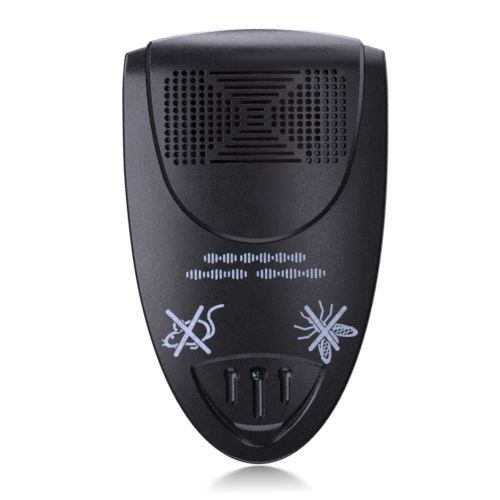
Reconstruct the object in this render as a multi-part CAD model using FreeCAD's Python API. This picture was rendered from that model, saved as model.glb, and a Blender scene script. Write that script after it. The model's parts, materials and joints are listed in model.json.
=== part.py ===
import FreeCAD, Part
import math
import os

# Plug-in ultrasonic pest repeller, in millimetres.
# +Z is up and the front faces -Y. The origin is midway between the two plug
# blades, in the plane of the wall that the rear cover rests on (y = 0).

V = FreeCAD.Vector

# ---- shield outline, seen from the front
HALF_WIDTH = 35.0
WIDEST_Z = 28.9
TIP_Z = -67.0
SHIELD_POWER = 2.45
SIDE_RADIUS = 92.0
TOP_Z = 46.95
TOP_RADIUS = 111.5
SHOULDER_RADIUS = 1.5

# ---- crowned front face
FRONT_Y = -35.0
ACROSS_RADIUS = 115.0
LENGTH_RADIUS = 347.0
ROLL_START_Z = 33.0
ROLL_LENGTH = 16.0
ROLL_DEPTH = 20.0
ROLL_POWER = 2.4
CROWN_BOTTOM_Z = -72.0
CROWN_HALF_X = 40.0
CROWN_THICK = 60.0
FAR_Y = -45.0

# ---- two half shells
PARTING_Y = -14.0
WALL = 2.0
FRONT_EDGE_RADIUS = 1.4
REAR_DRAFT = 2.6
REAR_CORNER_RADIUS = 5.0
REAR_EDGE_RADIUS = 2.0
TONGUE_OUTER_INSET = 0.9
TONGUE_INNER_INSET = 1.6
TONGUE_HEIGHT = 2.0
SEAM_GAP = 0.3
FIT = 0.1

# ---- speaker cover that wraps over the top
COVER_HALF_WIDTH = 28.5
COVER_STRAIGHT_Z = 38.0
COVER_BOWL_RADIUS = 25.5
COVER_BOWL_Z = 16.9
COVER_TOP_Z = 48.0
COVER_TOP_RADIUS = 112.6
COVER_PROUD = 1.6
COVER_RISE = 1.05
COVER_BEVEL = 1.05
COVER_SUNK = 0.6
COVER_GAP = 0.2
COVER_BACK_Y = -16.0
HOOKS = [(18.0, 2.0), (25.0, 34.5)]
HOOK_HALF = 1.6
HOOK_THICK = 0.6
HOOK_CATCH = 2.75
HOOK_NOSE = 1.1
HOOK_BARB = 0.5
HOOK_SLOT_END_Y = -26.0

# ---- sound grille
GRILLE_Z = 24.3
GRILLE_ROWS = 13
ROW_PITCH = 1.93
GRILLE_COLUMNS = 9
INNER_COLUMNS = 4
COLUMN_PITCH = 2.27
INNER_COLUMN_X = 4.85
HOLE_MOUTH_R = 0.82
HOLE_THROAT_R = 0.62
SLOT_HEIGHT = 1.0
SLOT_HALF_LENGTH = 2.37
CHAMBER_SKIN = 1.3
CHAMBER_HALF = 25.0
CHAMBER_LOW_Z = 10.5
CHAMBER_HIGH_Z = 37.6
TOOL_LEAD = 1.0
HOLE_TOOL_DEPTH = 3.2
SLOT_TOOL_DEPTH = 6.0

# ---- lamp recess with its raised plate and keyhole grooves
PICK_SIDE_X = 15.16
PICK_SIDE_Z = -33.05
PICK_SIDE_RADIUS = 34.15
PICK_TOP_Z = -37.6
PICK_TOP_RADIUS = 52.8
RECESS_COLUMN_Y = -5.0
PICK_CORNER_RADIUS = 1.7
PICK_POINT_RADIUS = 8.0
RECESS_DEPTH = 1.35
RECESS_SLOPE = 1.1
ISLAND_INSET = 2.1
ISLAND_TOP_Z = -38.9
ISLAND_FLOOR_Z = -58.2
ISLAND_FLOOR_RADIUS = 20.0
ISLAND_END_SLOPE = 1.7
ISLAND_SIDE_SLOPE = 0.9
ISLAND_LEAN_Z = -50.0
ISLAND_COLUMN_HALF = 5.0
ISLAND_TILT = 3.3
KEYHOLE_Z = -43.5
KEYHOLE_PITCH = 7.16
SIDE_BULB_R = 2.05
SIDE_TAIL_R = 1.4
SIDE_TAIL_LENGTH = 6.4
LAMP_BULB_R = 2.35
LAMP_TAIL_R = 1.45
LAMP_TAIL_LENGTH = 10.4
GROOVE_DEPTH = 1.15
LAMP_X = -0.4
LAMP_Z = -43.4
LAMP_R = 1.5
LAMP_NOSE_Y = -25.9
LAMP_FLANGE_R = 1.9
LAMP_FLANGE_Y = -21.6
LAMP_BASE_Y = -20.6
LEAD_PITCH = 2.54
LEAD_R = 0.25
LEAD_TAIL = 0.9
SPACER_R = 2.4
SPACER_BORE_R = 1.75
BACKING_DEPTH = 4.2

# ---- speaker
SPEAKER_Z = 24.3
SPEAKER_FLANGE_R = 19.0
SPEAKER_MOUTH_R = 17.5
SPEAKER_CAN_R = 16.4
SEAT_OUTER_R = 20.8
SEAT_Y = -29.3
SPEAKER_BACK_Y = -19.5
FLANGE_BACK_Y = -27.0
CLAMP_POST_X = 24.5
CLAMP_RING_R = 19.6
CLAMP_EAR_HALF = 3.0
GASKET_THICK = 0.3
GASKET_INNER_R = 17.6
FRAME_LIP_R = 17.4
FRAME_LIP_THICK = 1.2
FRAME_BORE_R = 15.2
CONE_EDGE_R = 15.1
CONE_EDGE_Y = -27.9
CONE_NECK_R = 4.0
CONE_NECK_Y = -23.4
CONE_THICK = 0.4
DOME_Y = -25.4
PIEZO_FRONT_Y = -22.9
PIEZO_THICK = 0.3
PIEZO_R = 8.0
CERAMIC_R = 6.0
BACK_THICK = 1.2
AIR_HOLES = 6
AIR_HOLE_R = 1.5
AIR_RING_R = 9.0
TAG_X = 3.5
TAG_Z = 11.6
TAG_HALF = 1.3
TAG_LENGTH = 4.0
TAG_RISE = 2.2
TAG_THICK = 0.4

# ---- screws: (x, z) of each one on the right-hand side or the centre line
CASE_SCREWS = [(26.0, 12.0), (15.0, -44.0)]
CASE_POST_R = 3.4
CASE_POST_END_Y = -10.0
CASE_PILOT_END_Y = -20.0
CASE_SEAT_Y = -7.5
CASE_WELL_R = 2.8
CASE_BOSS_R = 4.4
CASE_CLEAR_R = 1.6
CASE_SCREW_LENGTH = 11.8
SHANK_R = 1.25
PILOT_GAP = 0.05
SCREW_CLEAR = 0.2
SMALL_POST_R = 2.7
BOARD_PILOT_END_Y = -21.4
CLAMP_PILOT_END_Y = -30.4
CLAMP_THICK = 1.0
BOARD_SCREW_X = 17.5
BOARD_SCREW_Z = -27.0
BOARD_LOW_SCREW_Z = -51.0
SMALL_SHANK_R = 1.0
CASE_HEAD = (2.5, 1.8)
SMALL_HEAD = (2.0, 1.3)
BOARD_SCREW_LENGTH = 5.0
CLAMP_SCREW_LENGTH = 4.2
BRACKET_SCREW_LENGTH = 7.0

# ---- folding plug
PIVOT_Y = -5.2
BARREL_R = 4.6
BARREL_HALF = 10.6
JOURNAL_R = 2.0
JOURNAL_END = 13.2
JOURNAL_GAP = 0.05
BLADE_X = 6.35
BLADE_THICK = 1.52
BLADE_WIDTH = 6.35
BLADE_TIP_Y = 17.5
BLADE_HOLE_R = 1.6
BLADE_HOLE_Y = 11.7
HEEL_R = 6.2
HEEL_HALF = 1.6
BLADE_BEVEL = 1.6
BLADE_TIP_THIN = 0.45
BARREL_BEVEL = 0.5
OPENING_HALF_X = 10.9
OPENING_HALF_Z = 4.9
SADDLE_END_X = 13.6
SADDLE_HALF_Z = 5.2
SADDLE_FRONT_Y = -9.2
STOW_LOW_Z = -24.0
STOW_HALF_WIDTH = 1.2
STOW_DEPTH = 9.3
STOW_WALL = 1.4
SCOOP_RADIUS = 9.0
SCOOP_Z = -20.5
SCOOP_DEPTH = 3.0
SCOOP_HALF_X = 10.5
SCOOP_BLOCK_HALF_Z = 8.1
BRACKET_BACK_Y = -12.2
BRACKET_THICK = 1.5
BRACKET_HALF_X = 13.4
BRACKET_LOW_Z = -5.4
BRACKET_HIGH_Z = 10.5
BRACKET_ARM_HALF_Z = 3.0
BRACKET_ARM_X = 20.4
BRACKET_SCREW_X = 17.5
BRACKET_PILOT_END_Y = -4.6
BRACKET_BOSS_R = 3.0
FINGER_GAP = 0.2
SPRING_THICK = 0.3
SPRING_WIDTH = 3.2
SPRING_GAP = 0.05

# ---- rear cover details
VENT_COUNT = 7
VENT_PITCH = 3.6
VENT_TOP_Z = 41.0
VENT_HALF_X = 12.0
VENT_R = 0.8
LABEL_HALF_X = 11.0
LABEL_LOW_Z = -47.0
LABEL_HIGH_Z = -31.0
LABEL_SUNK = 0.3
LABEL_THICK = 0.18
LABEL_CORNER_R = 1.0

# ---- circuit board
BOARD_BACK_Y = -16.0
BOARD_FRONT_Y = -17.6
BOARD_TOP_Z = -1.0
BOARD_HALF_X = 21.0
BOARD_SIDE_END_Z = -30.0
BOARD_NECK_Z = -39.5
BOARD_NECK_X = 11.3
BOARD_LOW_Z = -54.0
BOARD_SCREW_HOLE_R = 1.2
LAMP_HOLE_R = 0.4
SHEET_HALF_X = 12.5
SHEET_LOW_Z = -11.0
SHEET_THICK = 0.2
COIL_X = 12.5
COIL_Z = -12.0
TRANSFORMER_X = -11.5
TRANSFORMER_Z = -12.0
WIRE_R = 0.65
WIRE_PAD_X = 14.3
WIRE_PAD_Z = -9.5


# ======================================================== small helpers

def box(x0, x1, y0, y1, z0, z1):
    return Part.makeBox(x1 - x0, y1 - y0, z1 - z0, V(x0, y0, z0))


def rod_y(radius, x, z, y0, y1):
    return Part.makeCylinder(radius, y1 - y0, V(x, y0, z), V(0, 1, 0))


def cone_y(r0, r1, x, z, y0, y1):
    return Part.makeCone(r0, r1, y1 - y0, V(x, y0, z), V(0, 1, 0))


def rod_x(radius, x0, x1, y, z):
    return Part.makeCylinder(radius, x1 - x0, V(x0, y, z), V(1, 0, 0))


def prism(wire, y0, y1):
    """Solid swept along +Y from a closed wire that lies in the plane y = 0."""
    solid = Part.Face(wire).extrude(V(0, y1 - y0, 0))
    solid.translate(V(0, y0, 0))
    return solid


def fuse_all(shapes):
    return shapes[0].multiFuse(shapes[1:])


def both_sides(shape):
    """The shape and its mirror image across the plane x = 0."""
    return [shape, shape.mirror(V(0, 0, 0), V(1, 0, 0))]


def sides_of(places):
    """Each (x, z) place and its mirror image across the plane x = 0."""
    return [(side * x, z) for x, z in places for side in (-1, 1)]


def round_edges(shape):
    """Edges that are full circles."""
    return [e for e in shape.Edges if len(e.Vertexes) == 1]


def arc(a, b, c):
    return Part.Arc(a, b, c).toShape()


def line(a, b):
    return Part.makeLine(a, b)


def polygon_prism(points, x0, x1):
    """Solid swept along X from a closed polygon of (y, z) points."""
    corners = [V(x0, y, z) for y, z in points]
    face = Part.Face(Part.makePolygon(corners + corners[:1]))
    return face.extrude(V(x1 - x0, 0, 0))


def cable(points, radius):
    """Round wire that follows a smooth curve through the given points."""
    path = Part.BSplineCurve()
    path.interpolate([V(*p) for p in points])
    spine = Part.Wire([path.toShape()])
    start = path.value(path.FirstParameter)
    heading = path.tangent(path.FirstParameter)[0]
    ring = Part.Wire([Part.makeCircle(radius, start, heading)])
    return spine.makePipeShell([ring], True, False)


def turned(profile, x, z):
    """Solid of revolution about the Y direction through (x, z)."""
    corners = [V(x + r, y, z) for r, y in profile]
    face = Part.Face(Part.makePolygon(corners + corners[:1]))
    return face.revolve(V(x, 0, z), V(0, 1, 0), 360)


# ======================================================== curved outlines

def circle_meet(c1, r1, c2, r2):
    """Meeting point, on the larger x side, of two circles with (x, z) centres."""
    dx = c2[0] - c1[0]
    dz = c2[1] - c1[1]
    gap = math.hypot(dx, dz)
    along = (r1 * r1 - r2 * r2 + gap * gap) / (2 * gap)
    across = math.sqrt(r1 * r1 - along * along)
    foot = (c1[0] + along * dx / gap, c1[1] + along * dz / gap)
    one = (foot[0] - across * dz / gap, foot[1] + across * dx / gap)
    two = (foot[0] + across * dz / gap, foot[1] - across * dx / gap)
    return max(one, two)


def toward(origin, through, distance):
    """Point at a distance from origin on the ray through another point."""
    dx = through[0] - origin[0]
    dz = through[1] - origin[1]
    scale = distance / math.hypot(dx, dz)
    return V(origin[0] + dx * scale, 0, origin[1] + dz * scale)


def flip(point):
    return V(-point.x, point.y, point.z)


def shield_wire(inset, corner=SHOULDER_RADIUS):
    """Shield outline moved inwards: bowed top, rounded shoulders, bowed sides and
    a long superelliptic lower end."""
    side_centre = (HALF_WIDTH - SIDE_RADIUS, WIDEST_Z)
    top_centre = (0.0, TOP_Z - TOP_RADIUS)
    side_r = SIDE_RADIUS - inset
    top_r = TOP_RADIUS - inset
    shoulder = circle_meet(side_centre, side_r - corner, top_centre, top_r - corner)
    top_end = toward(top_centre, shoulder, top_r)
    side_start = toward(side_centre, shoulder, side_r)
    middle = toward((0.0, 0.0), (top_end.x + side_start.x - 2 * shoulder[0],
                                 top_end.z + side_start.z - 2 * shoulder[1]), corner)
    shoulder_middle = V(shoulder[0], 0, shoulder[1]) + middle
    half = HALF_WIDTH - inset
    drop = WIDEST_Z - TIP_Z - inset
    rise = (side_start.z - WIDEST_Z) / 2
    side_middle = V(side_centre[0] + math.sqrt(side_r**2 - rise**2), 0, WIDEST_Z + rise)
    steps = 16
    lower = []
    for i in range(steps + 1):
        angle = math.pi * i / steps
        depth = drop * math.sin(angle) ** (2 / SHIELD_POWER) if 0 < i < steps else 0.0
        lower.append(V(half * math.cos(angle), 0, WIDEST_Z - depth))
    belly = Part.BSplineCurve()
    belly.interpolate(Points=lower, InitialTangent=V(0, 0, -1), FinalTangent=V(0, 0, 1))
    right = lower[0]
    left = lower[-1]
    return Part.Wire([
        arc(flip(top_end), V(0, 0, TOP_Z - inset), top_end),
        arc(top_end, shoulder_middle, side_start),
        arc(side_start, side_middle, right),
        belly.toShape(),
        arc(left, flip(side_middle), flip(side_start)),
        arc(flip(side_start), flip(shoulder_middle), flip(top_end)),
    ])


def cover_wire(grow):
    """Outline of the speaker cover: bowed top, straight shoulders, sides that curve
    in to a round bowl."""
    half = COVER_HALF_WIDTH + grow
    bowl_r = COVER_BOWL_RADIUS + grow
    drop = COVER_STRAIGHT_Z - COVER_BOWL_Z
    side_r = (drop**2 + (COVER_HALF_WIDTH - COVER_BOWL_RADIUS) *
              (COVER_HALF_WIDTH + COVER_BOWL_RADIUS)) / (
                  2 * (COVER_HALF_WIDTH - COVER_BOWL_RADIUS))
    side_centre = (COVER_HALF_WIDTH - side_r, COVER_STRAIGHT_Z)
    bowl_centre = (0.0, COVER_BOWL_Z)
    join = toward(bowl_centre, (bowl_centre[0] - side_centre[0],
                                2 * bowl_centre[1] - side_centre[1]), bowl_r)
    half_turn = math.atan2(drop, -side_centre[0]) / 2
    reach = side_r + grow
    side_middle = V(side_centre[0] + reach * math.cos(half_turn), 0,
                    side_centre[1] - reach * math.sin(half_turn))
    top_r = COVER_TOP_RADIUS + grow
    top_centre_z = COVER_TOP_Z - COVER_TOP_RADIUS
    corner = V(half, 0, top_centre_z + math.sqrt(top_r**2 - half**2))
    straight = V(half, 0, COVER_STRAIGHT_Z)
    return Part.Wire([
        arc(flip(corner), V(0, 0, COVER_TOP_Z + grow), corner),
        line(corner, straight),
        arc(straight, side_middle, join),
        arc(join, V(0, 0, COVER_BOWL_Z - bowl_r), flip(join)),
        arc(flip(join), flip(side_middle), flip(straight)),
        line(flip(straight), flip(corner)),
    ])


def pick(side_inset, top_inset):
    """Column of the rounded triangle that bounds the lamp recess: three large
    cylinders in common, with its upright edges still sharp."""
    sides = [rod_y(PICK_SIDE_RADIUS - side_inset, x, PICK_SIDE_Z, FAR_Y, RECESS_COLUMN_Y)
             for x in (-PICK_SIDE_X, PICK_SIDE_X)]
    top = rod_y(PICK_TOP_RADIUS - top_inset, 0, PICK_TOP_Z - PICK_TOP_RADIUS,
                FAR_Y, RECESS_COLUMN_Y)
    return sides[0].common(sides[1]).common(top)


def crown_y(x, z):
    """Y of the crowned front face at a place below the roll of its top edge."""
    drop = ROLL_START_Z - z
    along = LENGTH_RADIUS - math.sqrt(LENGTH_RADIUS**2 - drop**2)
    return FRONT_Y + along + x * x / (2 * ACROSS_RADIUS)


def crown(shift_y=0.0, shift_z=0.0):
    """Solid behind the crowned front face: its lengthwise curve, a long arc that
    rolls back at the top, swept along a shallow crosswise parabola."""
    spine = []
    levels = 8
    for i in range(levels):
        z = CROWN_BOTTOM_Z + (ROLL_START_Z - CROWN_BOTTOM_Z) * i / levels
        spine.append(V(0, crown_y(0, z), z))
    turns = 9
    for i in range(turns + 1):
        angle = math.pi / 2 * i / turns
        along = math.sin(angle) ** (2 / ROLL_POWER)
        back = 1 - math.cos(angle) ** (2 / ROLL_POWER) if i < turns else 1.0
        spine.append(V(0, FRONT_Y + ROLL_DEPTH * back, ROLL_START_Z + ROLL_LENGTH * along))
    drop = ROLL_START_Z - CROWN_BOTTOM_Z
    slope = -drop / math.sqrt(LENGTH_RADIUS**2 - drop**2)
    curve = Part.BSplineCurve()
    curve.interpolate(Points=spine, InitialTangent=V(0, slope, 1), FinalTangent=V(0, 1, 0))
    edge = CROWN_HALF_X**2 / (2 * ACROSS_RADIUS)
    across = [V(-CROWN_HALF_X, edge, 0), V(0, -edge, 0), V(CROWN_HALF_X, edge, 0)]
    poles = [[pole + step for step in across] for pole in curve.getPoles()]
    face = Part.BSplineSurface()
    face.buildFromPolesMultsKnots(poles, curve.getMultiplicities(), [3, 3],
                                  curve.getKnots(), [0.0, 1.0], False, False,
                                  curve.Degree, 2)
    solid = face.toShape().extrude(V(0, CROWN_THICK, 0))
    solid.translate(V(0, shift_y, shift_z))
    return solid


def upright_edges(block, test):
    """Edges that run along Y and whose middle point passes a test."""
    return [e for e in block.Edges
            if abs(e.tangentAt(e.FirstParameter).y) > 0.999 and test(e.CenterOfMass)]


def edges_where(shape, test):
    """Edges whose points all pass a test."""
    chosen = []
    for edge in shape.Edges:
        span = edge.LastParameter - edge.FirstParameter
        points = [edge.valueAt(edge.FirstParameter + span * t) for t in (0.1, 0.5, 0.9)]
        if all(test(p) for p in points):
            chosen.append(edge)
    return chosen


def on_crown(depth):
    return lambda p: abs(p.y - crown_y(p.x, p.z) - depth) < 0.02


# ======================================================== front shell

def inner_body():
    """Solid just inside the shell's outer skin, used to trim posts and ribs."""
    outline = prism(shield_wire(COVER_SUNK + FIT), FAR_Y, CASE_POST_END_Y)
    return outline.common(crown(COVER_SUNK + FIT, -COVER_SUNK))


def shell_body():
    """Solid front half with its front edges rounded."""
    body = prism(shield_wire(0), FAR_Y, PARTING_Y).common(crown())
    front = [e for e in body.Edges
             if e.CenterOfMass.y < PARTING_Y - 1 and abs(e.tangentAt(e.FirstParameter).y) < 0.9]
    return body.makeFillet(FRONT_EDGE_RADIUS, front)


def shell_cavity():
    outline = prism(shield_wire(WALL), FAR_Y, PARTING_Y + 1)
    return outline.common(crown(WALL, -0.7 * WALL))


def recess_cutter():
    """Tool for the lamp recess, with walls that slope in to its floor."""
    column = pick(0, 0)
    column = column.makeFillet(PICK_POINT_RADIUS, upright_edges(column, lambda c: c.z < -60))
    column = column.makeFillet(PICK_CORNER_RADIUS,
                               upright_edges(column, lambda c: abs(c.x) > PICK_SIDE_X))
    cutter = column.cut(crown(RECESS_DEPTH))
    return cutter.makeChamfer(RECESS_SLOPE, edges_where(cutter, on_crown(RECESS_DEPTH)))


def island_depth(z):
    """Depth of the raised plate below the crowned face: flush with the recess floor
    at its top end and standing proud of it at its lower end."""
    return RECESS_DEPTH - (ISLAND_TOP_Z - z) * math.tan(math.radians(ISLAND_TILT))


def bevelled_column(radius, x, z, slope):
    """Thick disc square to the recess floor whose rim leans inwards towards the
    front. The radius is the one at the floor."""
    half = ISLAND_COLUMN_HALF
    foot = V(0, crown_y(0, ISLAND_FLOOR_Z) + RECESS_DEPTH, ISLAND_FLOOR_Z)
    disc = cone_y(radius - slope * half, radius + slope * half, x, z, foot.y - half, foot.y + half)
    lean = math.asin((ROLL_START_Z - ISLAND_LEAN_Z) / LENGTH_RADIUS)
    disc.rotate(foot, V(1, 0, 0), math.degrees(lean))
    return disc


def island():
    """Raised plate inside the lamp recess. It is flush with the floor at its top end
    and grows proud downwards; its sides are bevelled and its lower end slopes."""
    column = bevelled_column(ISLAND_FLOOR_RADIUS, 0, ISLAND_FLOOR_Z + ISLAND_FLOOR_RADIUS,
                             ISLAND_END_SLOPE)
    for side in (-1, 1):
        column = column.common(bevelled_column(PICK_SIDE_RADIUS - ISLAND_INSET,
                                               side * PICK_SIDE_X, PICK_SIDE_Z,
                                               ISLAND_SIDE_SLOPE))
    top_r = PICK_TOP_RADIUS + ISLAND_TOP_Z - PICK_TOP_Z
    column = column.common(rod_y(top_r, 0, ISLAND_TOP_Z - top_r, FAR_Y, 0))
    face = crown(RECESS_DEPTH)
    hinge = V(0, crown_y(0, ISLAND_TOP_Z) + RECESS_DEPTH, ISLAND_TOP_Z)
    face.rotate(hinge, V(1, 0, 0), -ISLAND_TILT)
    return column.common(face).cut(crown(RECESS_DEPTH + 1))


def groove_ball(x, z, rim_r):
    """Ball that cuts a round dimple of the given rim radius in the raised plate."""
    radius = (rim_r**2 + GROOVE_DEPTH**2) / (2 * GROOVE_DEPTH)
    floor = crown_y(x, z) + island_depth(z)
    return radius, V(x, floor + GROOVE_DEPTH - radius, z)


def keyhole(x, bulb_r, tail_r, tail_length):
    """Tool for a round-bottomed groove with a wider round upper end."""
    bulb, bulb_centre = groove_ball(x, KEYHOLE_Z, bulb_r)
    tail, start = groove_ball(x, KEYHOLE_Z, tail_r)
    tail, end = groove_ball(x, KEYHOLE_Z - tail_length, tail_r)
    run = end - start
    return fuse_all([
        Part.makeSphere(bulb, bulb_centre),
        Part.makeSphere(tail, end),
        Part.makeCylinder(tail, run.Length, start, run),
    ])


def front_shell():
    shell = shell_body().cut(shell_cavity())
    inside = inner_body()
    backing = pick(-1.0, -1.0).common(crown(WALL / 2)).cut(crown(BACKING_DEPTH))
    posts = [rod_y(CASE_POST_R, x, z, FAR_Y, CASE_POST_END_Y) for x, z in sides_of(CASE_SCREWS)]
    posts += [rod_y(SMALL_POST_R, x, z, FAR_Y, BOARD_FRONT_Y) for x, z in board_screw_places()]
    posts += both_sides(rod_y(SMALL_POST_R, CLAMP_POST_X, SPEAKER_Z, FAR_Y, FLANGE_BACK_Y))
    posts.append(rod_y(SEAT_OUTER_R, 0, SPEAKER_Z, FAR_Y, FLANGE_BACK_Y))
    shell = fuse_all([shell, backing] + [post.common(inside) for post in posts])

    cover_bed = prism(cover_wire(COVER_GAP), FAR_Y, COVER_BACK_Y + COVER_GAP).cut(inside)
    rebate = prism(shield_wire(TONGUE_OUTER_INSET - FIT), PARTING_Y - TONGUE_HEIGHT - FIT, 0)
    rebate = rebate.cut(prism(shield_wire(WALL + 0.01), FAR_Y, 1))
    seam = prism(shield_wire(-1), PARTING_Y - SEAM_GAP, 0)
    seam = seam.cut(prism(shield_wire(SEAM_GAP), FAR_Y, 1))
    cuts = [
        cover_bed,
        rebate,
        seam,
        rod_y(SPEAKER_MOUTH_R, 0, SPEAKER_Z, FAR_Y, 0),
        rod_y(SPEAKER_FLANGE_R + 2 * FIT, 0, SPEAKER_Z, SEAT_Y, 0),
        recess_cutter(),
    ]
    cuts += [rod_y(SHANK_R + PILOT_GAP, x, z, CASE_PILOT_END_Y, 0)
             for x, z in sides_of(CASE_SCREWS)]
    cuts += [rod_y(SMALL_SHANK_R + PILOT_GAP, x, z, BOARD_PILOT_END_Y, 0)
             for x, z in board_screw_places()]
    cuts += both_sides(rod_y(SMALL_SHANK_R + PILOT_GAP, CLAMP_POST_X, SPEAKER_Z,
                             CLAMP_PILOT_END_Y, 0))
    cuts += [box(x - HOOK_HALF - COVER_GAP, x + HOOK_HALF + COVER_GAP, FAR_Y, HOOK_SLOT_END_Y,
                 z - HOOK_THICK - COVER_GAP, z + HOOK_THICK + COVER_GAP)
             for x, z in sides_of(HOOKS)]
    shell = shell.cut(cuts)
    shell = shell.fuse(island())
    shell = shell.cut([
        keyhole(-KEYHOLE_PITCH, SIDE_BULB_R, SIDE_TAIL_R, SIDE_TAIL_LENGTH),
        keyhole(0, LAMP_BULB_R, LAMP_TAIL_R, LAMP_TAIL_LENGTH),
        keyhole(KEYHOLE_PITCH, SIDE_BULB_R, SIDE_TAIL_R, SIDE_TAIL_LENGTH),
        rod_y(LAMP_R + FIT, LAMP_X, LAMP_Z, FAR_Y, BOARD_FRONT_Y),
    ])
    return shell


# ======================================================== speaker cover

def grille_rows():
    """Height of each row, and how many steps it lies beyond the three middle rows."""
    middle = GRILLE_ROWS // 2
    return [(GRILLE_Z + (middle - row) * ROW_PITCH, max(0, abs(row - middle) - 1))
            for row in range(GRILLE_ROWS)]


def grille_holes():
    """Round tapered holes on both sides. Their inner border runs in steps along the
    slots, and the first and last rows lack the outermost hole."""
    tools = []
    most = GRILLE_ROWS // 2 - 1
    for z, steps in grille_rows():
        first = min(INNER_COLUMNS, steps)
        last = GRILLE_COLUMNS - 1 if steps == most else GRILLE_COLUMNS
        for column in range(first, last):
            tools += both_sides(grille_hole(INNER_COLUMN_X + column * COLUMN_PITCH, z))
    return tools


def grille_slots():
    """One slot per row between the holes. Slots grow by one row pitch per step, so
    that they form two fans."""
    return [grille_slot(SLOT_HALF_LENGTH + steps * ROW_PITCH, z) for z, steps in grille_rows()]


def cover_face_y(x, z):
    """Y of the cover's face, on the crown below the roll and close to it above."""
    return crown_y(x, min(z, ROLL_START_Z)) - COVER_PROUD


def grille_hole(x, z):
    face = cover_face_y(x, z)
    slope = (HOLE_MOUTH_R - HOLE_THROAT_R) / (COVER_PROUD + COVER_SUNK)
    return cone_y(HOLE_MOUTH_R + slope, HOLE_THROAT_R - slope, x, z,
                  face - TOOL_LEAD, face + HOLE_TOOL_DEPTH)


def grille_slot(half_length, z):
    straight = half_length - SLOT_HEIGHT / 2
    face = cover_face_y(0, z)
    y0 = face - TOOL_LEAD
    y1 = face + SLOT_TOOL_DEPTH
    middle = box(-straight, straight, y0, y1, z - SLOT_HEIGHT / 2, z + SLOT_HEIGHT / 2)
    ends = [rod_y(SLOT_HEIGHT / 2, x, z, y0, y1) for x in (-straight, straight)]
    return fuse_all([middle] + ends).removeSplitter()


def snap_hook(x, z):
    """Hook that reaches through the shell and catches behind its wall."""
    root = crown_y(x, min(z, ROLL_START_Z))
    stem = box(x - HOOK_HALF, x + HOOK_HALF, root - 0.5, root + HOOK_CATCH + HOOK_NOSE,
               z - HOOK_THICK, z + HOOK_THICK)
    nose = box(x - HOOK_HALF, x + HOOK_HALF, root + HOOK_CATCH, root + HOOK_CATCH + HOOK_NOSE,
               z - HOOK_THICK, z + HOOK_THICK + HOOK_BARB)
    return stem.fuse(nose)


def speaker_cover():
    blank = prism(cover_wire(0), FAR_Y, COVER_BACK_Y).common(crown(-COVER_PROUD, COVER_RISE))
    top = upright_edges(blank, lambda c: c.z > COVER_STRAIGHT_Z + 4)
    blank = blank.makeChamfer(COVER_BEVEL, top)
    front = [e for e in blank.Edges
             if e.CenterOfMass.y < COVER_BACK_Y - 1 and abs(e.tangentAt(e.FirstParameter).y) < 0.95]
    blank = blank.makeChamfer(COVER_BEVEL, front)
    core = prism(shield_wire(COVER_SUNK), FAR_Y, 0).common(crown(COVER_SUNK, -COVER_SUNK))
    cover = blank.cut(core)
    chamber = box(-CHAMBER_HALF, CHAMBER_HALF, FAR_Y, 0, CHAMBER_LOW_Z, CHAMBER_HIGH_Z)
    cover = cover.cut(chamber.common(crown(CHAMBER_SKIN - COVER_PROUD, COVER_RISE)))
    cover = cover.cut(grille_slots())
    cover = cover.cut(grille_holes())
    return fuse_all([cover] + [snap_hook(x, z) for x, z in sides_of(HOOKS)])


# ======================================================== rear cover

def tapered(inset0, corner0, y0, inset1, corner1, y1):
    """Solid between two shield outlines at different depths."""
    front = shield_wire(inset0, corner0)
    front.translate(V(0, y0, 0))
    back = shield_wire(inset1, corner1)
    back.translate(V(0, y1, 0))
    return Part.makeLoft([front, back], True, True)


def vent(z):
    middle = box(-VENT_HALF_X, VENT_HALF_X, -WALL - 1, 1, z - VENT_R, z + VENT_R)
    return fuse_all([middle] + [rod_y(VENT_R, x, z, -WALL - 1, 1)
                                for x in (-VENT_HALF_X, VENT_HALF_X)])


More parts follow.
